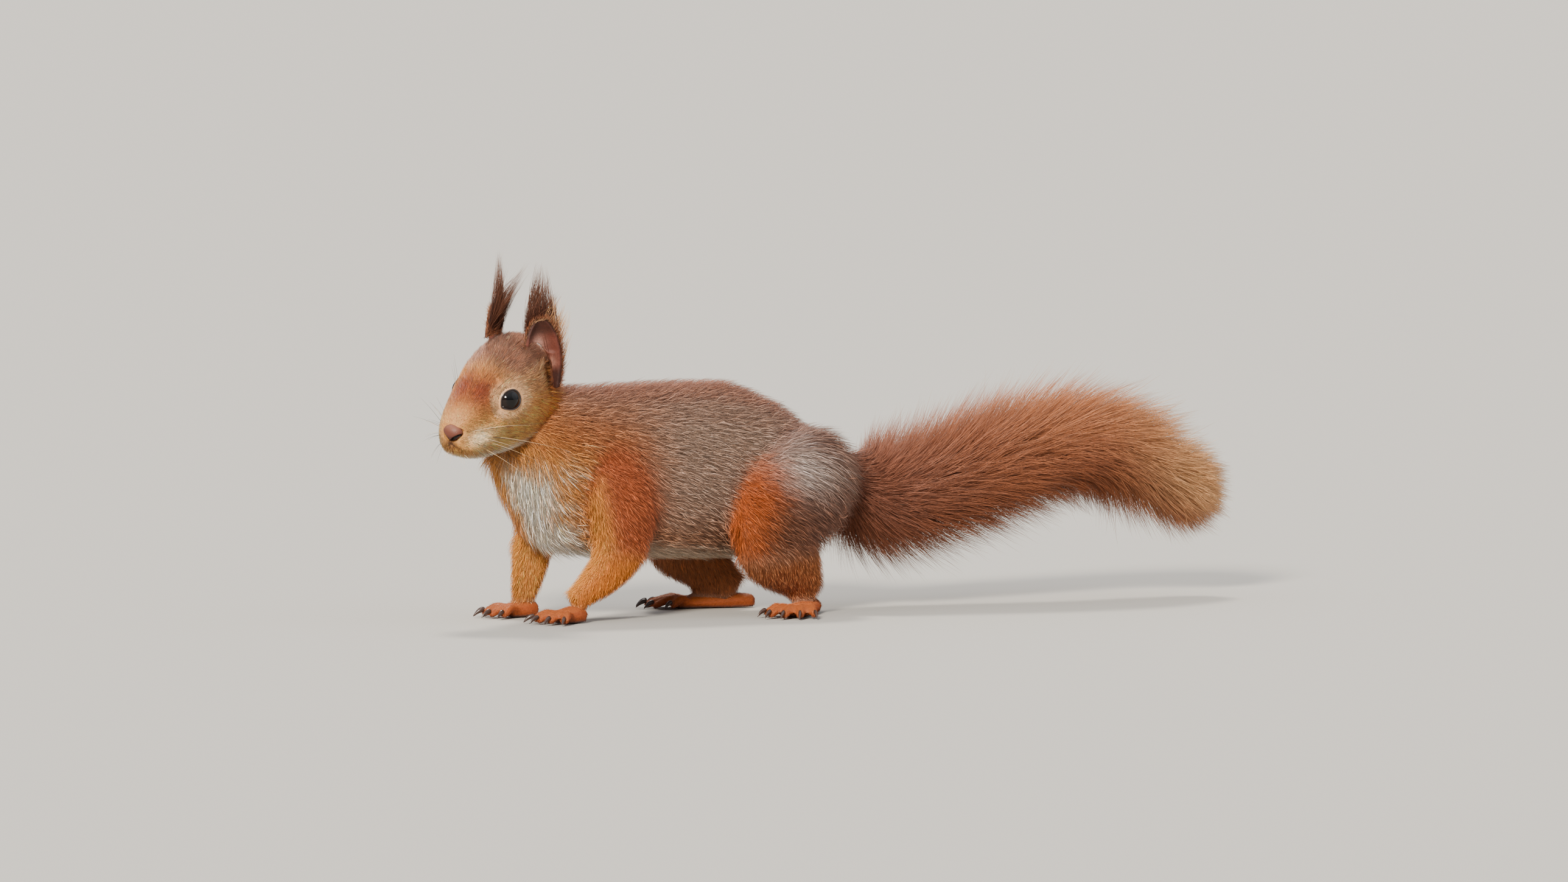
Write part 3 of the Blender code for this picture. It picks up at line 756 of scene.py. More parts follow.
skin_parts = {}
weights, body_part = body_weights(body_points, triangles_of(body_faces))
body_tris = triangles_of(body_faces)
body_normals = normals_of(body_points, body_tris)
body_paint = body_colours(body_points, body_normals, weights)
body_paint *= 0.75 + 0.2 * smooth_step(0.45, 0.75, body_paint.min(1, keepdims=True))
skin_parts["body"] = (body_points, body_faces, body_paint)
head_tris = triangles_of(head_faces)
head_normals = normals_of(head_points, head_tris)
skin_parts["head"] = (head_points, head_faces, head_colours(head_points) * 0.7)
for name, (points, faces) in zip(PAWS, paw_parts):
    skin_parts[name] = (points, faces, paw_colours(points, normals_of(points, triangles_of(faces))) * 0.8)
for side, (points, faces) in zip((1, -1), ear_parts):
    normals = normals_of(points, triangles_of(faces))
    skin_parts[f"ear_{side}"] = (points, faces, ear_colours(points, normals, side) * 0.9)


def coloured(mesh, colours):
    """Gives the mesh its markings as a colour at each point."""
    layer = mesh.color_attributes.new("markings", "FLOAT_COLOR", "POINT")
    opaque = np.column_stack([colours, np.ones(len(colours))])
    layer.data.foreach_set("color", opaque.astype(np.float32).ravel())
    mesh.color_attributes.active_color = layer


def markings(tree):
    return add(tree, "ShaderNodeAttribute", attribute_name="markings").outputs["Color"]


def mottled(tree, values, darkest, palest):
    """The markings shaded by a fine noise, and the noise."""
    noise = pattern(tree, "ShaderNodeTexNoise", values).outputs["Fac"]
    spread = {"From Min": 0.3, "From Max": 0.7, "To Min": darkest, "To Max": palest}
    shade = add(tree, "ShaderNodeMapRange", spread, {"Value": noise}).outputs["Result"]
    colour = add(tree, "ShaderNodeVectorMath", links={0: markings(tree), "Scale": shade}, operation="SCALE")
    return colour.outputs["Vector"], noise


def placed(name, mesh, stuff):
    """A finished smooth piece of one material on the still body."""
    mesh.shade_smooth()
    mesh.materials.append(stuff)
    piece = bpy.data.objects.new(name, mesh)
    scene.collection.objects.link(piece)
    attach(piece, "root")
    return piece


hide, hide_nodes = material("skin_with_undercoat")
hide_colour, hide_felt = mottled(hide_nodes, {"Scale": 1400.0, "Detail": 4.0, "Roughness": 0.65}, 0.75, 1.2)
surface(
    hide_nodes,
    {"Roughness": 0.62, "Specular IOR Level": 0.3},
    {"Base Color": hide_colour, "Normal": bumps(hide_nodes, hide_felt, 0.5, 0.0003)},
)

skin_points, skin_faces = joined([(p, f) for p, f, _ in skin_parts.values()])
skin_mesh = mesh_from("skin", skin_points, skin_faces)
coloured(skin_mesh, np.vstack([c for _, _, c in skin_parts.values()]))
skin = placed("skin", skin_mesh, hide)
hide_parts(*TRUNK, *LIMBS, *PAWS, "head", "ear_left", "ear_right")


# ---------------------------------------------------------------- eyes
# Wet, near-black eyeballs with a dark brown iris that only shows where light crosses it, each
# set in a thin, dark, moist rim of lid.

def marked_material(name, values):
    """A plain material that wears the markings."""
    made, tree = material(name)
    surface(tree, values, {"Base Color": markings(tree)})
    return made


def shape_of(shell):
    """A shell's points and faces."""
    points = np.array([v.co for v in shell.verts])
    faces = [[v.index for v in f.verts] for f in shell.faces]
    shell.free()
    return points, faces


eye_gloss = marked_material("wet_eyeball", {"Roughness": 0.04, "IOR": 1.376, "Specular IOR Level": 0.5})
lid_skin = marked_material("moist_lid_skin", {"Roughness": 0.4, "Coat Weight": 0.2})
IRIS_WIDE, PUPIL_WIDE = 0.86, 0.52  # radians from the eye's axis
CORNEA_PROUD, CORNEA_WIDE = 0.035, 0.6


for side_name, (side, centre) in zip(SIDES, EYES):
    shell = bmesh.new()
    bmesh.ops.create_uvsphere(shell, u_segments=48, v_segments=32, radius=1.0)
    rest, faces = shape_of(shell)
    axis = eye_axis(side)
    turn = Vector((0, 0, 1)).rotation_difference(Vector(axis)).to_matrix()
    points = rest @ np.array(turn).T
    away = np.arccos(np.clip(points @ axis, -1, 1))
    bulge = 1 + CORNEA_PROUD * np.exp(-((away / CORNEA_WIDE) ** 2))
    iris = smooth_step(PUPIL_WIDE, IRIS_WIDE * 0.8, away) * smooth_step(1.1, IRIS_WIDE, away)
    mesh = mesh_from(f"eyeball_{side_name}", centre + points * (EYE_RADIUS * bulge)[:, None], faces)
    coloured(mesh, blend(np.tile(linear("040303"), (len(points), 1)), "140A06", iris))
    ball = placed(f"eyeball_{side_name}", mesh, eye_gloss)
    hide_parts(f"eye_{side_name}")


# Across a lid, from under its inner edge over its margin and out beneath the skin: share of the
# opening, height over the ball, height over the skin, and how far it follows the skin.
LID_ROWS = (
    (1.06, -0.5, 0, 0),
    (0.98, 0.02, 0, 0),
    (0.985, 0.2, 0, 0),
    (1.01, 0.38, 0, 0),
    (1.06, 0.5, 0, 0),
    (1.14, 0.56, 0.1, 0.1),
    (1.24, 0.55, 0.1, 0.35),
    (1.36, 0.45, 0.1, 0.75),
    (1.5, 0.3, 0.05, 1.0),
    (1.62, 0.0, -0.5, 1.0),
    (1.4, -0.6, -0.9, 0.7),
)
LID_STOPS = 96
head_finder = BVHTree.FromPolygons(head_points.tolist(), head_faces)


def lid_place(centre, side, around, share):
    """The direction from an eye's middle at an angle round its axis and a share of the opening."""
    axis = eye_axis(side)
    ahead = unit(FORWARD - axis * (FORWARD @ axis))
    way = ahead * math.cos(around) + np.cross(ahead, axis) * side * math.sin(around)
    trial = centre + axis * math.cos(0.5) + way * math.sin(0.5)
    reach = 0.5 * share / lid_angle(trial[None], centre, side)[0]
    return axis * math.cos(reach) + way * math.sin(reach)


def lid_band(centre, side):
    """A smooth closed band of lid round an eye, its outer edge drawn down under the skin."""
    points = []
    for around in np.linspace(0, 2 * math.pi, LID_STOPS, endpoint=False):
        for share, over_ball, over_skin, follows in LID_ROWS:
            way = lid_place(centre, side, around, share)
            hit = head_finder.ray_cast(Vector(centre + way * 12), Vector(-way), 9)[0]
            skin_at = (np.array(hit) - centre) @ way if hit else EYE_RADIUS
            skin_at = min(max(skin_at, EYE_RADIUS - 0.2), EYE_RADIUS + 0.8)
            far = (EYE_RADIUS + over_ball) * (1 - follows) + (skin_at + over_skin) * follows
            points.append(centre + way * far)
    rows = len(LID_ROWS)
    faces = [
        [i * rows + j, i * rows + (j + 1) % rows, after * rows + (j + 1) % rows, after * rows + j]
        for i, after in zip(range(LID_STOPS), [*range(1, LID_STOPS), 0])
        for j in range(rows)
    ]
    return np.array(points), faces


def tear_corner(centre, side):
    """The small moist bead in the inner corner of the lids."""
    bead = bmesh.new()
    bmesh.ops.create_icosphere(bead, subdivisions=3, radius=0.6)
    middle = centre + lid_place(centre, side, math.radians(-22), 0.97) * (EYE_RADIUS - 0.1)
    points, faces = shape_of(bead)
    return points + middle, faces


lid_parts = [lid_band(c, s) for s, c in EYES] + [tear_corner(c, s) for s, c in EYES]
lid_points, lid_faces = joined(lid_parts)
lid_mesh = mesh_from("lid_rims", lid_points, lid_faces)
coloured(lid_mesh, head_colours(lid_points))
lid_shape = bmesh.new()
lid_shape.from_mesh(lid_mesh)
bmesh.ops.recalc_face_normals(lid_shape, faces=lid_shape.faces)
lid_shape.to_mesh(lid_mesh)
lid_shape.free()
placed("lid_rims", lid_mesh, lid_skin)


# ---------------------------------------------------------------- nose pad
# A small bare pad of pebbled brown skin with two comma nostrils and a groove down its middle, painted paler
# on top as painted light, and darker beneath and in the nostrils as painted shade.

nose_shell = bmesh.new()
bmesh.ops.create_icosphere(nose_shell, subdivisions=5, radius=1.0)
rest, nose_faces = shape_of(nose_shell)
ahead, out, up = rest.T
narrow = pad_narrows(up)
nose_radius = np.ones(len(rest))
for side in (1, -1):
    start, end = np.array([side * 0.93, -0.05]), np.array([side * 0.2, -0.82])
    rel, run = np.stack([out, up], 1) - start, end - start
    share = np.clip(rel @ run / (run @ run), 0, 1)
    slit = np.linalg.norm(rel - share[:, None] * run, axis=1) / (0.11 + 0.06 * np.sin(math.pi * share))
    nose_radius -= 0.36 * np.exp(-(slit**2)) * (ahead > -0.2)
nose_radius -= 0.1 * np.exp(-((out / 0.08) ** 2)) * smooth_step(-0.5, -0.8, up) * (ahead > 0)
nose_points = NOSE_MIDDLE + (
    np.multiply.outer(ahead * NOSE_WIDTHS[0] * nose_radius, FORWARD)
    + np.multiply.outer(out * NOSE_WIDTHS[1] * narrow * nose_radius, LEFT)
    + np.multiply.outer(up * NOSE_WIDTHS[2] * nose_radius, UP)
)
nose_colour = np.tile(linear("5C3226"), (len(rest), 1))
# Painted light and shade: the pad paler on top and darker beneath.
nose_colour = blend(nose_colour, "744838", smooth_step(0.2, 0.9, up))
nose_colour = blend(nose_colour, "3E1C16", smooth_step(0.1, -0.6, up))
# Painted shade in the nostril slits.
nose_colour = blend(nose_colour, "0C0504", smooth_step(0.96, 0.86, nose_radius))

pad_skin, pad_nodes = material("bare_nose_skin")
pad_pebble = pattern(pad_nodes, "ShaderNodeTexVoronoi", {"Scale": 2600.0}).outputs["Distance"]
surface(
    pad_nodes,
    {"Roughness": 0.5, "Specular IOR Level": 0.3},
    {"Base Color": markings(pad_nodes), "Normal": bumps(pad_nodes, pad_pebble, 0.35, 0.00015)},
)
nose_mesh = mesh_from("nose_pad", nose_points, nose_faces)
coloured(nose_mesh, nose_colour)
nose_pad = placed("nose_pad", nose_mesh, pad_skin)
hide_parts("nose")


# ---------------------------------------------------------------- claws
# Eighteen curved claws of dark horn, streaked with paler horn, that hook down to the floor.

horn, horn_nodes = material("dark_claw_horn")
horn_streak = pattern(horn_nodes, "ShaderNodeTexNoise", {"Scale": 700.0, "Detail": 3.0})
horn_colour = add(
    horn_nodes,
    "ShaderNodeMix",
    {6: (*linear("1E1412"), 1), 7: (*linear("4A342B"), 1)},
    {0: horn_streak.outputs["Fac"]},
    data_type="RGBA",
)
surface(horn_nodes, {"Roughness": 0.3}, {"Base Color": horn_colour.outputs[2]})

claw_names = sorted(n for n in nodes if "claw" in n)
claw_points, claw_faces = joined([merged(n, 0.12) for n in claw_names])
claw_points, claw_faces = worked(claw_points, claw_faces, ("SUBSURF", {"levels": 2, "render_levels": 2}))
claws = placed("claws", mesh_from("claws", claw_points, claw_faces), horn)
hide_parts(*claw_names)


# ---------------------------------------------------------------- coat of the body
# Guard hairs over a finer, denser underfur, laid from head to tail and down the limbs: short on
# the legs, longest on the chest and rump, each hair darker at its root and paler at its tip.

PATCH = 0.003  # how much of the unwrap one hair covers

coat, coat_nodes = material("fur_hair")
coat_colour, _ = mottled(coat_nodes, {"Scale": 420.0, "Detail": 2.0}, 0.84, 1.14)
surface(
    coat_nodes,
    {"Roughness": 0.55, "Specular IOR Level": 0.2, "Sheen Weight": 0.04, "Sheen Roughness": 0.4},
    {"Base Color": coat_colour},
)


def scatter(points, tris, per_mm2, rng):
    """Random places on a surface: the triangle of each and its corner weights."""
    a, b, c = (points[tris[:, i]] for i in range(3))
    area = np.linalg.norm(np.cross(b - a, c - a), axis=1) / 2
    share = np.cumsum(area * per_mm2[tris].mean(1))
    aims = np.arange(int(share[-1])) + rng.random(int(share[-1]))
    tri = np.minimum(np.searchsorted(share, aims), len(tris) - 1)
    r, q = np.sqrt(rng.random(len(tri))), rng.random(len(tri))
    return tri, np.stack([1 - r, r * (1 - q), r * q], 1)


def read(values, tris, picked):
    """Values at the points, read at scattered places."""
    tri, weight = picked
    corners = np.asarray(values, float)[tris[tri]]
    weight = weight if corners.ndim == 2 else weight[:, :, None]
    return (corners * weight).sum(1)


def gathered(tips, roots, spacing, pull, rng):
    """Tips drawn together into locks about `spacing` millimetres apart."""
    cells = {}
    for i in rng.permutation(len(roots)):
        cells.setdefault(tuple((roots[i] / spacing).astype(int)), i)
    heads = np.array(sorted(cells.values()))
    finder = KDTree(len(heads))
    for k, i in enumerate(heads):
        finder.insert(roots[i], k)
    finder.balance()
    head = heads[[finder.find(r)[1] for r in roots]]
    strength = (pull * rng.uniform(0.3, 1.0, len(roots)))[:, None]
    return tips + (tips[head] + (roots - roots[head]) * 0.35 - tips) * strength


HAIR_SECTION = ((-1.0, -0.3), (1.0, -0.3), (0.0, 0.6))


def locks(name, slot, spine, wide, aside, colours, unwrap):
    """One coat piece of closed three-sided hairs: the places along each hair with its tip last,
    its half width at each place, the flat way across, its colours and its place in the unwrap."""
    count, stops, _ = spine.shape
    rings = stops - 1
    ahead = unit(np.diff(spine, axis=1))
    side = unit(aside[:, None] - ahead * (aside[:, None] * ahead).sum(2, keepdims=True))
    over = np.cross(ahead, side)
    section = [spine[:, :rings] + wide[:, :rings, None] * (side * s + over * o) for s, o in HAIR_SECTION]
    points = np.concatenate([np.stack(section, 2).reshape(count, rings * 3, 3), spine[:, -1:]], 1)
    pattern = [(0, 2, 1)]
    for first in range(0, rings * 3 - 3, 3):
        for i in range(3):
            a, b = first + i, first + (i + 1) % 3
            pattern += [(a, b, a + 3), (b, b + 3, a + 3)]
    last = rings * 3
    pattern += [(last - 3 + i, last - 3 + (i + 1) % 3, last) for i in range(3)]
    corners = (np.arange(count)[:, None, None] * (last + 1) + np.array(pattern)).reshape(-1)
    mesh = bpy.data.meshes.new(name)
    mesh.vertices.add(count * (last + 1))
    mesh.vertices.foreach_set("co", (points * MM).astype(np.float32).ravel())
    mesh.loops.add(len(corners))
    mesh.loops.foreach_set("vertex_index", corners.astype(np.int32))
    mesh.polygons.add(len(corners) // 3)
    mesh.polygons.foreach_set("loop_start", np.arange(0, len(corners), 3, dtype=np.int32))
    mesh.update(calc_edges=True)
    coloured(mesh, np.concatenate([np.repeat(colours[:, :rings], 3, 1), colours[:, -1:]], 1).reshape(-1, 3))
    place = [(i / 2 - 0.5, ring / rings - 0.5) for ring in range(rings) for i in range(3)] + [(0, 0.5)]
    patch = (unwrap[:, None] + np.array(place) * PATCH).reshape(-1, 2)
    layer = mesh.uv_layers.new(name="OFBake")
    layer.data.foreach_set("uv", patch[corners].astype(np.float32).ravel())
    return placed(name, mesh, coat)


def chart(u, v, cell=0, cells=(1, 1)):
    """Puts a part's own along and round measures, each 0 to 1, in its cell of the unwrap."""
    col, row = np.asarray(cell) % cells[0], np.asarray(cell) // cells[0]
    fit = np.stack([np.clip(u, 0, 1), np.clip(v, 0, 1)], -1) * 0.96 + 0.02
    return (np.stack([col + 0 * u, row + 0 * u], -1) + fit) / cells


def shaded(colours, rng, rings, root=0.6, tip=1.25, vary=0.22, pale_share=0.07, pale=1.45):
    """Each hair's colours from a dark root to a paler tip, no two hairs quite alike. A share of the hairs is
    much paler: the coat's grizzled pale hairs, made paler still as painted glints.
    """
    tone = np.exp(rng.normal(0, vary, len(colours)))
    tone *= np.where(rng.random(len(colours)) < pale_share, pale, 1.0)
    warm = rng.normal(0, 0.05, (len(colours), 1)) * (1.0, 0.2, -0.6)
    base = np.clip(colours * tone[:, None] * (1 + warm), 0.002, 0.95)
    root = root + (0.95 - root) * smooth_step(0.45, 0.75, base.min(1))
    ramp = root[:, None] + (tip - root)[:, None] * np.linspace(0, 1, rings + 1)
    return np.clip(base[:, None] * ramp[:, :, None], 0, 0.96)


TAPER = {1: (1.0, 0), 2: (0.9, 1.0, 0), 3: (0.8, 1.0, 0.75, 0)}


BODY_TONES = (0.62, 1.18, 0.19)


def pelt(shell, flow, length, depth, per_mm2, colours, rng, rings, wide, lock, tones=BODY_TONES, wander=0.27):
    """Hairs grown over a shell of points, triangles and normals. They leave the skin along the
    flow, rise through the coat's depth and lie flatter towards their tips."""
    points, tris, normals = shell
    picked = scatter(points, tris, per_mm2, rng)
    roots, normal = read(points, tris, picked), unit(read(normals, tris, picked))
    hair = read(length, tris, picked) * rng.uniform(0.72, 1.18, len(roots))
    lift = np.arcsin(np.clip(read(depth, tris, picked) / hair, 0.1, 0.62)) * rng.uniform(0.7, 1.3, len(roots))
    way = read(flow, tris, picked) + rng.normal(0, wander, roots.shape)
    lie = unit(way - normal * (way * normal).sum(1)[:, None])
    places, spot_now = [roots - normal * 0.3], roots.copy()
    for step in range(rings):
        tilt = lift * (1.35 - 0.9 * step / max(rings - 1, 1) if rings > 1 else 0.95)
        ahead = lie * np.cos(tilt)[:, None] + normal * np.sin(tilt)[:, None]
        spot_now = spot_now + ahead * (hair / rings)[:, None]
        places.append(spot_now)
    spine = np.stack(places, 1)
    spine[:, -1] = gathered(spine[:, -1], roots, *lock, rng)
    spine[:, 1:, 2] = np.maximum(spine[:, 1:, 2], 0.3)
    hairs = {
        "spine": spine,
        "wide": (wide[0] + wide[1] * hair)[:, None] * np.array([TAPER[rings]]),
        "aside": np.cross(normal, lie),
        "colours": shaded(read(colours, tris, picked), rng, rings, *tones),
    }
    return hairs, roots, picked


def some(hairs, mine):
    return {key: values[mine] for key, values in hairs.items()}


def inside(points, shell_points, shell_faces, margin=0.0):
    """True for the points inside a closed shell."""
    tree = BVHTree.FromPolygons(shell_points.tolist(), shell_faces)
    found = [tree.find_nearest(Vector(p)) for p in points]
    pairs = zip(points, found)
    return np.array([(Vector(p) - near).dot(normal) < margin for p, (near, normal, _, _) in pairs])


behind, right, above = body_frame(body_points)
up = body_normals[:, 2]
limb = weights["upper_arm"] + weights["forearm"] + weights["thigh"] + weights["shank"]
hidden = inside(body_points, head_points, head_faces, 0.2)
from_head = head_frame(body_points)
hidden |= (from_head[:, 0] > -15) & (from_head[:, 2] > -18) & (np.linalg.norm(from_head, axis=1) < 32)
bare = hidden | (weights["forepaw"] + weights["hindfoot"] > 0.7) | (behind > 76) | (body_points[:, 2] < 2.0)
nape = smooth_step(-88, -104, behind) * smooth_step(0.0, 0.6, up) * smooth_step(86, 94, above)
body_depth = 0.9 * averaged(depths[body_part], body_tris, 8) + 2.4 * nape

flow = np.zeros_like(body_points)
flow[:, 0] = 1.0
flow[:, 2] = -0.42 * smooth_step(0.9, 0.3, np.abs(up))
down_chest = smooth_step(-78, -96, behind) * smooth_step(85, 65, above)
flow += np.array([-0.7, 0, -1.1]) * down_chest[:, None]
flow += np.array([-0.3, 0, -0.9]) * weights["upper_arm"][:, None]
left_side = right < 0
arm_way = np.where(left_side[:, None], [-1.5, 0, -1.0], [-1.15, 0, -1.3])
flow += arm_way * weights["forearm"][:, None]
flow += np.array([-0.05, 0, -0.45]) * weights["thigh"][:, None]
flow += np.array([-0.7, 0, -0.9]) * weights["shank"][:, None]
flow[:, 2] += 0.35 * nape + 0.3 * smooth_step(38, 54, behind) * smooth_step(30, 44, above)

COAT_LENGTH = {
    "loin": 10.0,
    "chest": 10.5,
    "neck": 9.0,
    "rump": 11.5,
    "upper_arm": 7.5,
    "forearm": 4.4,
    "thigh": 10.0,
    "shank": 6.0,
    "forepaw": 2.5,
    "hindfoot": 2.5,
    "head": 6.0,
}
length = sum(COAT_LENGTH[kind] * weight for kind, weight in weights.items())
length += 3.0 * down_chest + 3.0 * smooth_step(-0.4, -0.9, up) * (1 - limb) + 4.0 * nape
length += 11.0 * smooth_step(34, 56, behind)
length += 6.0 * weights["thigh"] * smooth_step(20, 34, behind) * smooth_step(20, 34, above)
length *= 1 - 0.45 * smooth_step(16, 4, above)

rng = np.random.default_rng(11)
uneven = body_points + rng.normal(0, 2.4, body_points.shape)
body_paint = body_colours(uneven, body_normals, weights)
limb_ids = np.array(sorted(BODY_NODES.index(n) for n in LIMBS))
limb_middles = np.array([middle_of(BODY_NODES[i]) for i in limb_ids])
shell = (body_points, body_tris, body_normals)
finer = weights["forearm"] + weights["shank"]
LAYERS = (
    # name, hairs per square millimetre, extra on the lower legs, rings, half width, share of length
    ("guard", 0.5, 0.4, 2, (0.06, 0.0045), 1.0, (3.0, 0.35)),
    ("under_a", 1.75, 1.2, 1, (0.07, 0.005), 0.85, (2.4, 0.35)),
    ("under_b", 1.75, 1.2, 1, (0.075, 0.005), 0.65, (1.8, 0.3)),
)
for layer, dense, more, rings, wide, share, lock in LAYERS:
    per_mm2 = np.where(bare, 0, dense + more * finer + 0.3 * weights["upper_arm"])
    hairs, roots, picked = pelt(
        shell, flow, length * share, body_depth * share, per_mm2, body_paint, rng, rings, wide, lock
    )
    root_part = body_part[body_tris[picked[0], 0]]
    on_limb = np.isin(root_part, limb_ids)
    root_behind, root_right, root_above = body_frame(roots)
    trunk_chart = chart((root_behind + 115) / 180, np.arctan2(np.abs(root_right), root_above - 58) / math.pi)
    which = np.searchsorted(limb_ids, np.where(on_limb, root_part, limb_ids[0]))
    from_limb = roots - limb_middles[which]
    turn = np.arctan2(from_limb[:, 1], from_limb[:, 0]) / (2 * math.pi) + 0.5
    limb_chart = chart(from_limb[:, 2] / 80 + 0.5, turn, which, (4, 2))
    groups = {
        f"flank_left_{layer}": ~on_limb & (root_right < 0),
        f"flank_right_{layer}": ~on_limb & (root_right >= 0),
        f"limbs_left_{layer}": on_limb & (root_right < 0),
        f"limbs_right_{layer}": on_limb & (root_right >= 0),
    }
    for name, mine in groups.items():
        unwrap, slot = (limb_chart, "orange_coat") if "limbs" in name else (trunk_chart, "back_coat")
        locks(f"coat_{name}", slot, unwrap=unwrap[mine], **some(hairs, mine))


# ---------------------------------------------------------------- coat of the head
# The shortest, finest hair of all: a millimetre on the muzzle and lids, laid back from the nose,
# parted round the eyes, longer over the cheeks and jaw where it runs into the throat.

where = head_frame(head_points)
ahead, out, high = where[:, 0], np.abs(where[:, 1]), where[:, 2]
side = np.sign(where[:, 1])
spots = np.stack([ahead, out, high], 1)
eye_away = np.minimum(*(np.linalg.norm(head_points - c, axis=1) for _, c in EYES))
opening = np.minimum(
    *(lid_angle(head_points, c, s) + (s * where[:, 1] < 0) * 9 for s, c in EYES)
)
ear_away = np.linalg.norm((spots - [-21.5, 16.0, 3.5]) / [3.4, 9.0, 5.6], axis=1)

flow = np.zeros_like(where)
flow[:, 0] = -1.0
low = smooth_step(-2, -12, high)
rear = smooth_step(0, -18, ahead)
flow[:, 1] = side * (0.25 * low * smooth_step(20, 8, ahead))
flow[:, 2] = -0.3 * low * smooth_step(16, 4, ahead) - 0.6 * rear * smooth_step(8, -6, high)
flow[:, 2] -= 0.9 * spot(spots, (21, 7, -17), (6, 7, 4))
flow[:, 2] += 0.8 * spot(spots, (-15.5, 16, 6), (4, 6, 6))
from_eye = (spots - [2.2, 11.2, 0.0]) * np.stack([np.ones(len(side)), side, np.ones(len(side))], 1)
flow += unit(from_eye) * (1.1 * np.exp(-(((eye_away - 6.5) / 3.0) ** 2)))[:, None]
head_flow = flow @ np.array([FORWARD, LEFT, UP])

back_of_head = smooth_step(-8, -20, ahead)
jaw = smooth_step(-13, -18, high) * smooth_step(-22, -4, ahead)
head_length = 1.5 + 1.5 * smooth_step(20, 9, ahead) + 1.0 * smooth_step(8, -6, ahead)
head_length += 1.2 * low * smooth_step(15, 2, ahead) + 2.2 * jaw
head_length += back_of_head * (1.2 + 2.6 * smooth_step(12, 2, high))
head_length += 2.4 * spot(spots, (-15.5, 16, 4), (2.5, 5, 6))
head_length += 4.0 * spot(spots, (-22, 14, -10), (7, 9, 11))
head_length *= 1 - 0.6 * np.exp(-((np.clip(opening - 1.1, 0, None) / 0.5) ** 2)) * (eye_away < 14)
head_depth = head_length * (0.26 + 0.1 * back_of_head * smooth_step(12, 2, high) + 0.1 * jaw)
bare = (opening < 1.18) & (eye_away < 10) | (pad_share(head_points) < 1.01) | (ear_away < 0.9)
bare |= inside(head_points, body_points, body_faces, -0.3)
per_mm2 = np.where(bare, 0, 6.0 + 4.0 * smooth_step(-8, 12, ahead))

rng = np.random.default_rng(12)
uneven = head_points + rng.normal(0, 0.6, head_points.shape)
shell = (head_points, head_tris, head_normals)
# Root, tip, how unlike the hairs are, share of pale hairs, how pale; the pale hairs are grizzled tips made
# paler as painted glints.
HEAD_TONES = (0.42, 1.35, 0.36, 0.1, 1.8)
hairs, roots, picked = pelt(
    shell,
    head_flow,
    head_length,
    head_depth,
    per_mm2,
    head_colours(uneven),
    rng,
    rings=1,
    wide=(0.075, 0.016),
    lock=(1.5, 0.4),
    tones=HEAD_TONES,
    wander=0.26,
)
root_at = head_frame(roots)
unwrap = chart((root_at[:, 0] + 32) / 62, np.arctan2(root_at[:, 1], root_at[:, 2] + 6) / (2 * math.pi) + 0.5)
for name, mine in (("coat_face_left", root_at[:, 1] > 0), ("coat_face_right", root_at[:, 1] <= 0)):
    locks(name, "orange_coat", unwrap=unwrap[mine], **some(hairs, mine))


# ---------------------------------------------------------------- coat of the paws
# Short flat hair that covers the toes to the claws and leaves only the pads bare.

rng = np.random.default_rng(13)
PAW_HEADINGS = {"forepaw_left": 14, "forepaw_right": 2, "hindfoot_left": 46, "hindfoot_right": 18}
grown = []
for number, (name, (points, faces)) in enumerate(zip(PAWS, paw_parts)):
    tris = triangles_of(faces)
    normals = normals_of(points, tris)
    turn = math.radians(PAW_HEADINGS[name])
    toes = np.array([-math.cos(turn), math.sin(turn) * (-1 if "left" in name else 1), -0.35])
    bare = inside(points, body_points, body_faces, 0.0) | (normals[:, 2] < -0.55) | (points[:, 2] < 0.4)
    long = 1.5 + 1.3 * smooth_step(6, 12, points[:, 2])
    hairs, roots, picked = pelt(
        (points, tris, normals),
        np.tile(toes, (len(points), 1)),
        long,
        long * 0.28,
        np.where(bare, 0, 6.5),
        paw_colours(points + rng.normal(0, 0.4, points.shape), normals),
        rng,
        1,
        (0.07, 0.01),
        (1.2, 0.3),
    )
    across = roots - points.mean(0)
    round_about = across @ np.cross(toes, (0, 0, 1))
    cell = number * 2 + (hairs["aside"][:, 2] > 0)
    unwrap = chart(across @ toes / 50 + 0.5, round_about / 50 + 0.5, cell, (4, 2))
    grown.append({**hairs, "unwrap": unwrap})


def all_of(grown):
    return {key: np.concatenate([hairs[key] for hairs in grown]) for key in grown[0]}


locks("coat_paws", "orange_coat", **all_of(grown))


# ---------------------------------------------------------------- coat of the ears
# Close dark hair up the back of each ear, a pale fringe along its rim and a thin down inside.

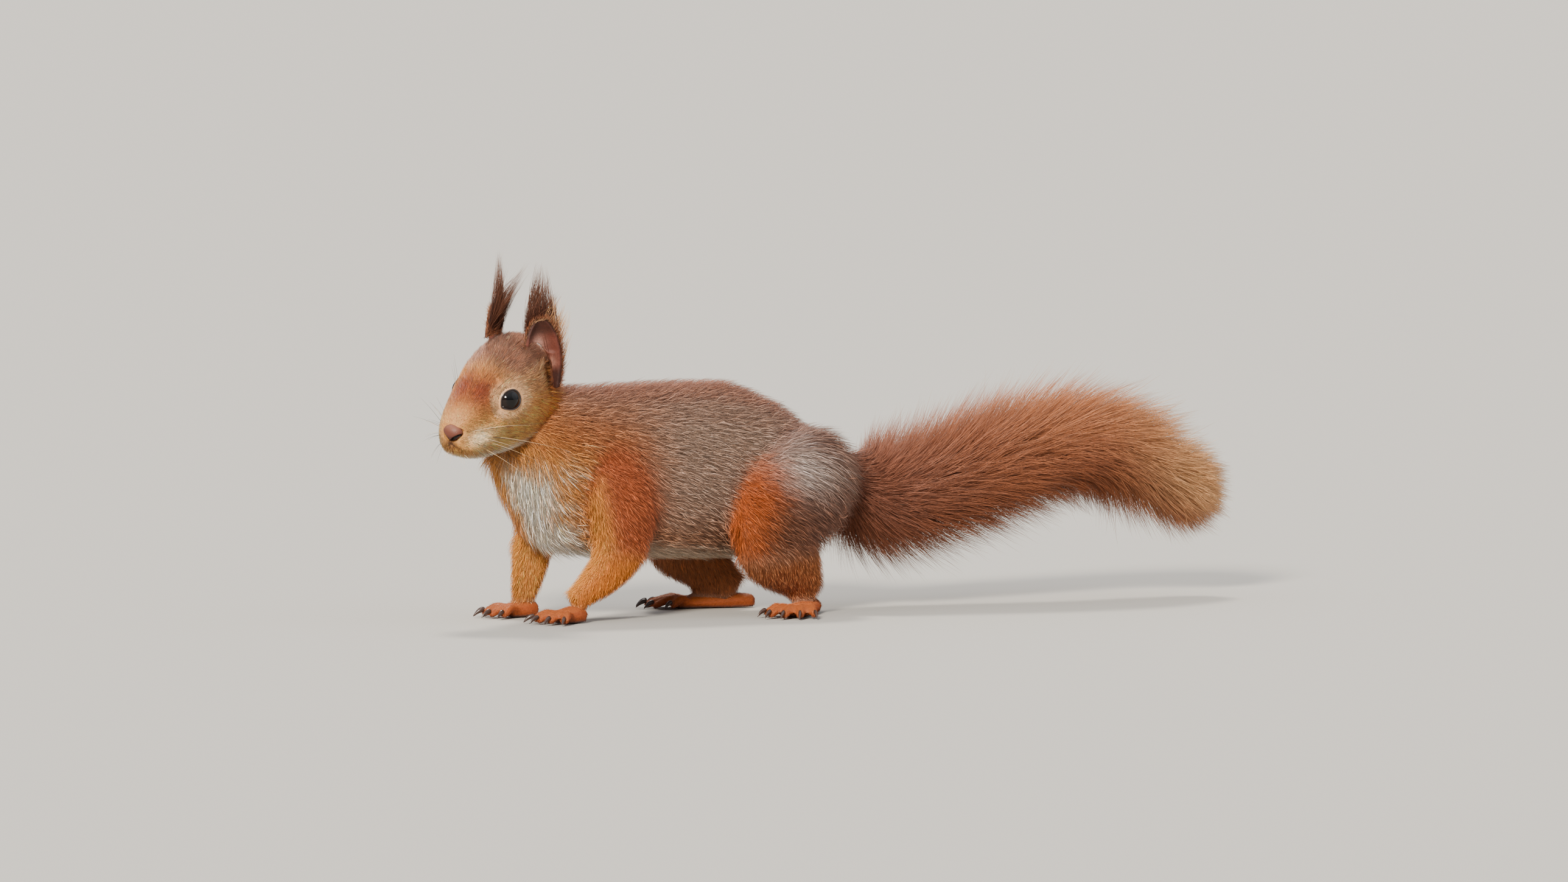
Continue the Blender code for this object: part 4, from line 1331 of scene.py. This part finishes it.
rng = np.random.default_rng(14)
grown = []
for number, (side, (points, faces)) in enumerate(zip((1, -1), ear_parts)):
    tris = triangles_of(faces)
    normals = normals_of(points, tris)
    foot, rise, opens, edge = ear_frame(side)
    height, across = (points - foot) @ rise, (points - foot) @ edge
    facing = normals @ opens
    back = smooth_step(0.1, -0.3, facing)
    from_middle = np.hypot(across / 8, np.clip(height - 12, 0, 40) / 14)
    rim = smooth_step(0.8, 0.3, np.abs(facing)) * smooth_step(0.5, 0.85, from_middle)
    per_mm2 = 2.6 + 6.5 * back + 7.5 * rim
    per_mm2 = np.where(inside(points, head_points, head_faces, 0.0), 0, per_mm2)
    flow = rise + edge * (across * 0.05)[:, None] + opens * (0.5 * rim)[:, None]
    long = 1.1 + 2.4 * back + 0.9 * rim
    colours = blend(ear_colours(points, normals, side), "6E3F28", back * 0.6)
    hairs, roots, picked = pelt(
        (points, tris, normals), flow, long, long * 0.3, per_mm2, colours, rng, 1, (0.06, 0.01), (1.4, 0.3)
    )
    fan = (roots - foot) @ edge
    cell = number * 2 + (read(back, tris, picked) > 0.5)
    unwrap = chart(((roots - foot) @ rise + 4) / 36, fan / 24 + 0.5, cell, (2, 2))
    grown.append({**hairs, "unwrap": unwrap})
locks("coat_ears", "ear_skin", **all_of(grown))


# ---------------------------------------------------------------- ear tufts
# The long winter tuft of each ear stands on its back and rim, dark at the root, and parts above
# into loose strands, with a paler fringe that fans out behind.

TUFT_STRANDS = {
    # share of the hairs, height of the top, how far to the rear, how far behind
    1: ((0.36, 51, 4.5, 0.5), (0.22, 42, -0.5, 1.5), (0.22, 44, 8.0, 2.5), (0.20, 36, 11.5, 3.0)),
    -1: ((0.36, 53, 2.0, 0.5), (0.20, 47, 0.0, 4.5), (0.24, 49, 4.0, 12.5), (0.20, 42, 5.0, 9.0)),
}


def bent(start, bend, end, rings):
    """Hairs that curve from one place to another by way of a third."""
    t = np.linspace(0, 1, rings + 1)[None, :, None]
    return (1 - t) ** 2 * start[:, None] + 2 * t * (1 - t) * bend[:, None] + t**2 * end[:, None]


rng = np.random.default_rng(15)
grown = []
for number, (side, (points, faces)) in enumerate(zip((1, -1), ear_parts)):
    tris = triangles_of(faces)
    normals = normals_of(points, tris)
    foot, rise, opens, edge = ear_frame(side)
    height, across = (points - foot) @ rise, (points - foot) @ edge
    back = smooth_step(0.3, -0.2, normals @ opens)
    high_up = smooth_step(6, 20, height)
    picked = scatter(points, tris, np.where(height > 1, back * (2.4 + 4.8 * high_up), 0), rng)
    roots, normal = read(points, tris, picked), unit(read(normals, tris, picked))
    count = len(roots)
    up_ear, over = (roots - foot) @ rise, (roots - foot) @ edge
    shares, tops, rears, behinds = np.array(TUFT_STRANDS[side]).T
    strand = rng.choice(4, count, p=shares)
    reach = up_ear + rng.uniform(0.25, 1.0, count) * (tops[strand] - up_ear)
    drawn = smooth_step(10, tops[strand], reach)
    loose = rng.normal(0, 1.0, (count, 2)) * (1.8 - 0.5 * drawn)[:, None]
    top_over = over * (1 - drawn) * 0.95 + rears[strand] * drawn + loose[:, 0]
    top_behind = 3.0 * (1 - drawn) + behinds[strand] * drawn + 0.7 * loose[:, 1]
    fringe = (over > rng.uniform(0, 6, count)) & (rng.random(count) < 0.7)
    reach = np.where(fringe, up_ear + rng.uniform(4, 13, count), reach)
    top_over = np.where(fringe, over + rng.uniform(2, 9, count), top_over)
    top_behind = np.where(fringe, rng.uniform(1.0, 4, count), top_behind)
    tip = foot + reach[:, None] * rise + top_over[:, None] * edge - top_behind[:, None] * opens
    bend = roots + normal * 1.5 + rise * (0.45 * (reach - up_ear))[:, None] + rng.normal(0, 0.6, (count, 3))
    bend += edge * (np.where(fringe, 0.8, 0.15) * (top_over - over) * 0.6)[:, None]
    tip = gathered(tip, tip * 0.5 + roots * 0.5, 3.2, 0.45, rng)
    colour = blend(np.tile(linear("3C1C10"), (count, 1)), "B8845A", fringe * 0.8)
    ends = blend(np.tile(linear("6E4430"), (count, 1)), "CFA274", fringe)
    tone = np.exp(rng.normal(0, 0.18, count))[:, None, None]
    share = smooth_step(0.2, 0.95, np.linspace(0, 1, 4))[None, :, None]
    grown.append(
        {
            "spine": bent(roots - normal * 0.3, bend, tip, 3),
            "wide": rng.uniform(0.05, 0.09, count)[:, None] * np.array([TAPER[3]]),
            "aside": np.tile(edge, (count, 1)),
            "colours": np.clip((colour[:, None] * (1 - share) + ends[:, None] * share) * tone, 0.002, 0.95),
            "unwrap": chart((up_ear + 2) / 32, over / 24 + 0.5, number, (2, 1)),
        }
    )
tufts = locks("ear_tufts", "tuft_hair", **all_of(grown))
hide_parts("ear_tuft_left", "ear_tuft_right")


# ---------------------------------------------------------------- coat of the tail
# Long hairs spring from the thin bone all round and sweep back and out into one brush, longest
# above and at the end, where they part into wisps, over a shorter felt of underfur.

TAIL_SWELL = 1.14  # how far the tips stand past the tail's own line
TAIL_HAIRS, TAIL_UNDER_HAIRS = 22500, 24000


def tail_hairs(count, fills, runs, rings, wide, rng):
    step = np.interp(rng.random(count), [0, 0.2, 0.82, 1], [0.1, 2.2, 9.6, TAIL_BONE_ENDS])
    turn = rng.uniform(-math.pi, math.pi, count)
    fill = rng.uniform(fills[0], 1.0, count) ** (0.3 + 0.6 * smooth_step(8.0, 10.0, step)) * fills[1]
    run = rng.uniform(*runs, count) * (1 - 0.3 * smooth_step(4, 1, step))
    run = run * (0.78 + 0.36 * smooth_step(8.5, 10.5, step))
    ragged = 2.6 * rng.random(count) ** 1.5 * (0.4 + 0.6 * fill)
    tip_step = np.minimum(step + run, 14.0 - ragged - 0.5 * fill**2)
    tip_turn = turn + rng.normal(0, 0.18, count)
    across = np.array([0, 1.0, 0])
    middle, way, up, _, _ = tail_at(step)
    out = up * np.cos(turn)[:, None] + across * np.sin(turn)[:, None]
    roots = middle + out * (TAIL_BONE_THICK * (1 - TAIL_BONE_THINS * step / TAIL_BONE_ENDS) - 0.4)[:, None]

    def out_at(steps, turns, reach):
        """Places round the tail, some way out to the brush's own edge. It hangs a little at its root."""
        place, _, up, high, wide = tail_at(steps)
        end = smooth_step(10.5, 12.5, steps)
        high, wide = np.maximum(high, 14 * end), np.maximum(wide, 11 * end)
        place[:, 2] -= 2.5 * end * reach * (np.cos(turns) < 0.3)
        root_end = np.exp(-(((steps - 2.0) / 1.7) ** 2))
        place[:, 2] -= 2.0 * root_end * reach
        wide = wide + 4.0 * root_end
        high = (high + 4.5 * root_end) * np.cos(turns) * reach
        return place + up * high[:, None] + across * (wide * np.sin(turns) * reach)[:, None]

    stray = np.where(rng.random(count) < 0.1, rng.uniform(1.05, 1.2, count), 1.0)
    swell = 1 + (TAIL_SWELL - 1) * smooth_step(13.5, 11.5, tip_step)
    tip = out_at(tip_step, tip_turn, fill * stray * swell)
    bend = out_at(step + 0.42 * (tip_step - step), turn, 0.7 * fill) + rng.normal(0, 1.1, (count, 3))
    tip = gathered(tip, tip * 0.6 + roots * 0.4, 4.2, 0.5, rng) + rng.normal(0, 0.7, (count, 3))
    spine = bent(roots, bend, tip, rings)
    spine[:, :, 2] = np.maximum(spine[:, :, 2], 0.6)
    tone = np.exp(rng.normal(0, 0.17, count))[:, None]
    share = np.linspace(0, 1, rings + 1)
    paint = [
        tail_colours(step + s * (tip_step - step), np.cos(turn), np.full(count, 0.1 + 1.15 * s)) * tone
        for s in share
    ]
    return {
        "spine": spine,
        "wide": rng.uniform(*wide, count)[:, None] * np.array([TAPER[rings]]),
        "aside": unit(np.cross(out, way)),
        "colours": np.clip(np.stack(paint, 1), 0.002, 0.95),
        "unwrap": chart(step / TAIL_BONE_ENDS, turn / (2 * math.pi) + 0.5),
    }, turn


rng = np.random.default_rng(16)
TAIL_NODES = {"coat_tail_left": ("tail_1", "tail_2", "tail_3"), "coat_tail_right": ("tail_4", "tail_5")}
hairs, turn = tail_hairs(TAIL_HAIRS, (0.05, 1.0), (1.35, 2.5), 3, (0.085, 0.15), rng)
for (name, stood_for), mine in zip(TAIL_NODES.items(), (turn < 0, turn >= 0)):
    made = locks(name, "tail_coat", **some(hairs, mine))
    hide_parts(*stood_for)
hairs, turn = tail_hairs(TAIL_UNDER_HAIRS, (0.1, 0.86), (0.9, 1.6), 1, (0.14, 0.22), rng)
locks("coat_tail_under", "tail_coat", **hairs)


# ---------------------------------------------------------------- whiskers
# Stiff, tapering whiskers stand in rows on the muzzle and curve back past the cheeks, dark with
# a few pale ones among them. Finer ones stand over the eyes and pale bristles on the chin.

whisker_ink = marked_material("whisker_keratin", {"Roughness": 0.35})

# Root in the head's frame, with left for out; way in the same frame; length; droop; colour.
DARK_WHISKER, PALE_WHISKER = "1C110C", "D6B48C"
WHISKERS = []
for row, (top, climb) in enumerate(((-8.6, 0.42), (-10.6, 0.12), (-12.6, -0.16), (-14.6, -0.45))):
    for place in range(5):
        forward = 22.6 - 1.9 * place - 0.3 * row
        out = 5.2 + 0.75 * place + 0.25 * row
        way = (-0.35 - 0.13 * place, 0.95, climb - 0.06 * place)
        long = 20 + 3.4 * place - 1.5 * row
        colour = PALE_WHISKER if (row * 5 + place) % 4 == 1 else DARK_WHISKER
        WHISKERS.append((forward, out, top - 0.35 * place, way, long, 4.0, colour))
for forward, out, up in ((9.5, 8.6, 4.0), (8.2, 9.4, 5.0), (6.6, 9.6, 6.2)):
    WHISKERS.append((forward, out, up, (-0.45, 0.6, 0.75), 13.0, 2.0, DARK_WHISKER))
for forward, out, up in ((4.0, 13.6, -14.5), (1.5, 14.6, -13.0)):
    WHISKERS.append((forward, out, up, (-0.8, 0.7, -0.35), 12.0, 2.0, DARK_WHISKER))

rng = np.random.default_rng(17)
line_points, line_edges, line_colours, line_thick = [], [], [], []


def draw_line(side, places, thicknesses, colour):
    """One hair through places in the head's frame, with left for out."""
    start = len(line_points)
    for (forward, out, up), thick in zip(places, thicknesses):
        line_points.append(on_head(forward, side * out, up) * MM)
        line_thick.append(thick)
        line_colours.append((*linear(colour), 1))
    line_edges.extend((i, i + 1) for i in range(start, len(line_points) - 1))


BRISTLES, BRISTLE_LONG = 26, 4.2
SWEEP, STOPS, BRISTLE_STOPS = np.array([-0.25, -0.1, -1.0]), np.linspace(0, 1, 9), np.linspace(0, 1, 4)
for side in (1, -1):
    for forward, out, up, way, long, droop, colour in WHISKERS:
        way = unit(np.array(way) + rng.normal(0, 0.07, 3))
        long = long * rng.uniform(0.85, 1.15)
        root_thick = 0.085 if long > 14 else 0.06
        places = [np.array([forward, out, up]) + way * long * t + SWEEP * droop * t**2 for t in STOPS]
        draw_line(side, places, root_thick * (1 - 0.85 * STOPS), colour)
    for _ in range(BRISTLES):
        ahead = rng.uniform(12, 25)
        out = rng.uniform(0.2, 1) * np.interp(ahead, [12, 25], [9, 4])
        place = np.array([ahead, out, -17.5 - rng.uniform(0, 2.5) * (1 - out / 12)])
        way = unit(np.array([-0.2, 0.25, -1.0]) + rng.normal(0, 0.25, 3))
        places = [place + way * BRISTLE_LONG * t for t in BRISTLE_STOPS]
        draw_line(side, places, 0.07 * (1 - 0.8 * BRISTLE_STOPS), "F0DCC0")

line_mesh = bpy.data.meshes.new("whisker_lines")
line_mesh.from_pydata([tuple(p) for p in line_points], line_edges, [])
layer = line_mesh.color_attributes.new("markings", "FLOAT_COLOR", "POINT")
layer.data.foreach_set("color", np.array(line_colours, np.float32).ravel())
thickness = line_mesh.attributes.new("thickness", "FLOAT", "POINT")
thickness.data.foreach_set("value", np.array(line_thick, np.float32))
lines = bpy.data.objects.new("whisker_lines", line_mesh)
scene.collection.objects.link(lines)

drawn = bpy.data.node_groups.new("drawn_whiskers", "GeometryNodeTree")
drawn.interface.new_socket("Lines", in_out="INPUT", socket_type="NodeSocketGeometry")
unit_socket = drawn.interface.new_socket("One millimetre", in_out="INPUT", socket_type="NodeSocketFloat")
stuff_socket = drawn.interface.new_socket("Keratin", in_out="INPUT", socket_type="NodeSocketMaterial")
drawn.interface.new_socket("Whiskers", in_out="OUTPUT", socket_type="NodeSocketGeometry")
given = add(drawn, "NodeGroupInput")
curves = add(drawn, "GeometryNodeMeshToCurve", links={"Mesh": given.outputs["Lines"]})
stated = add(drawn, "GeometryNodeInputNamedAttribute", {"Name": "thickness"}, data_type="FLOAT")
radius_from = {0: stated.outputs[0], 1: given.outputs["One millimetre"]}
radius = add(drawn, "ShaderNodeMath", links=radius_from, operation="MULTIPLY")
section = add(drawn, "GeometryNodeCurvePrimitiveCircle", {"Resolution": 5, "Radius": 1.0})
tubes = add(
    drawn,
    "GeometryNodeCurveToMesh",
    {"Fill Caps": True},
    {"Curve": curves.outputs[0], "Profile Curve": section.outputs[0], "Scale": radius.outputs[0]},
)
smooth = add(drawn, "GeometryNodeSetShadeSmooth", links={"Geometry": tubes.outputs[0]})
real = add(drawn, "GeometryNodeRealizeInstances", links={"Geometry": smooth.outputs[0]})
dressed_from = {"Geometry": real.outputs[0], "Material": given.outputs["Keratin"]}
dressed = add(drawn, "GeometryNodeSetMaterial", links=dressed_from)
add(drawn, "NodeGroupOutput", links={"Whiskers": dressed.outputs[0]})

drawing = lines.modifiers.new("drawn_whiskers", "NODES")
drawing.node_group = drawn
drawing[unit_socket.identifier] = MM
drawing[stuff_socket.identifier] = whisker_ink
whisker_mesh = bpy.data.meshes.new_from_object(lines.evaluated_get(bpy.context.evaluated_depsgraph_get()))
bpy.data.objects.remove(lines)
whisker_mesh.name = "whiskers"
whiskers = bpy.data.objects.new("whiskers", whisker_mesh)
scene.collection.objects.link(whiskers)
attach(whiskers, "root")
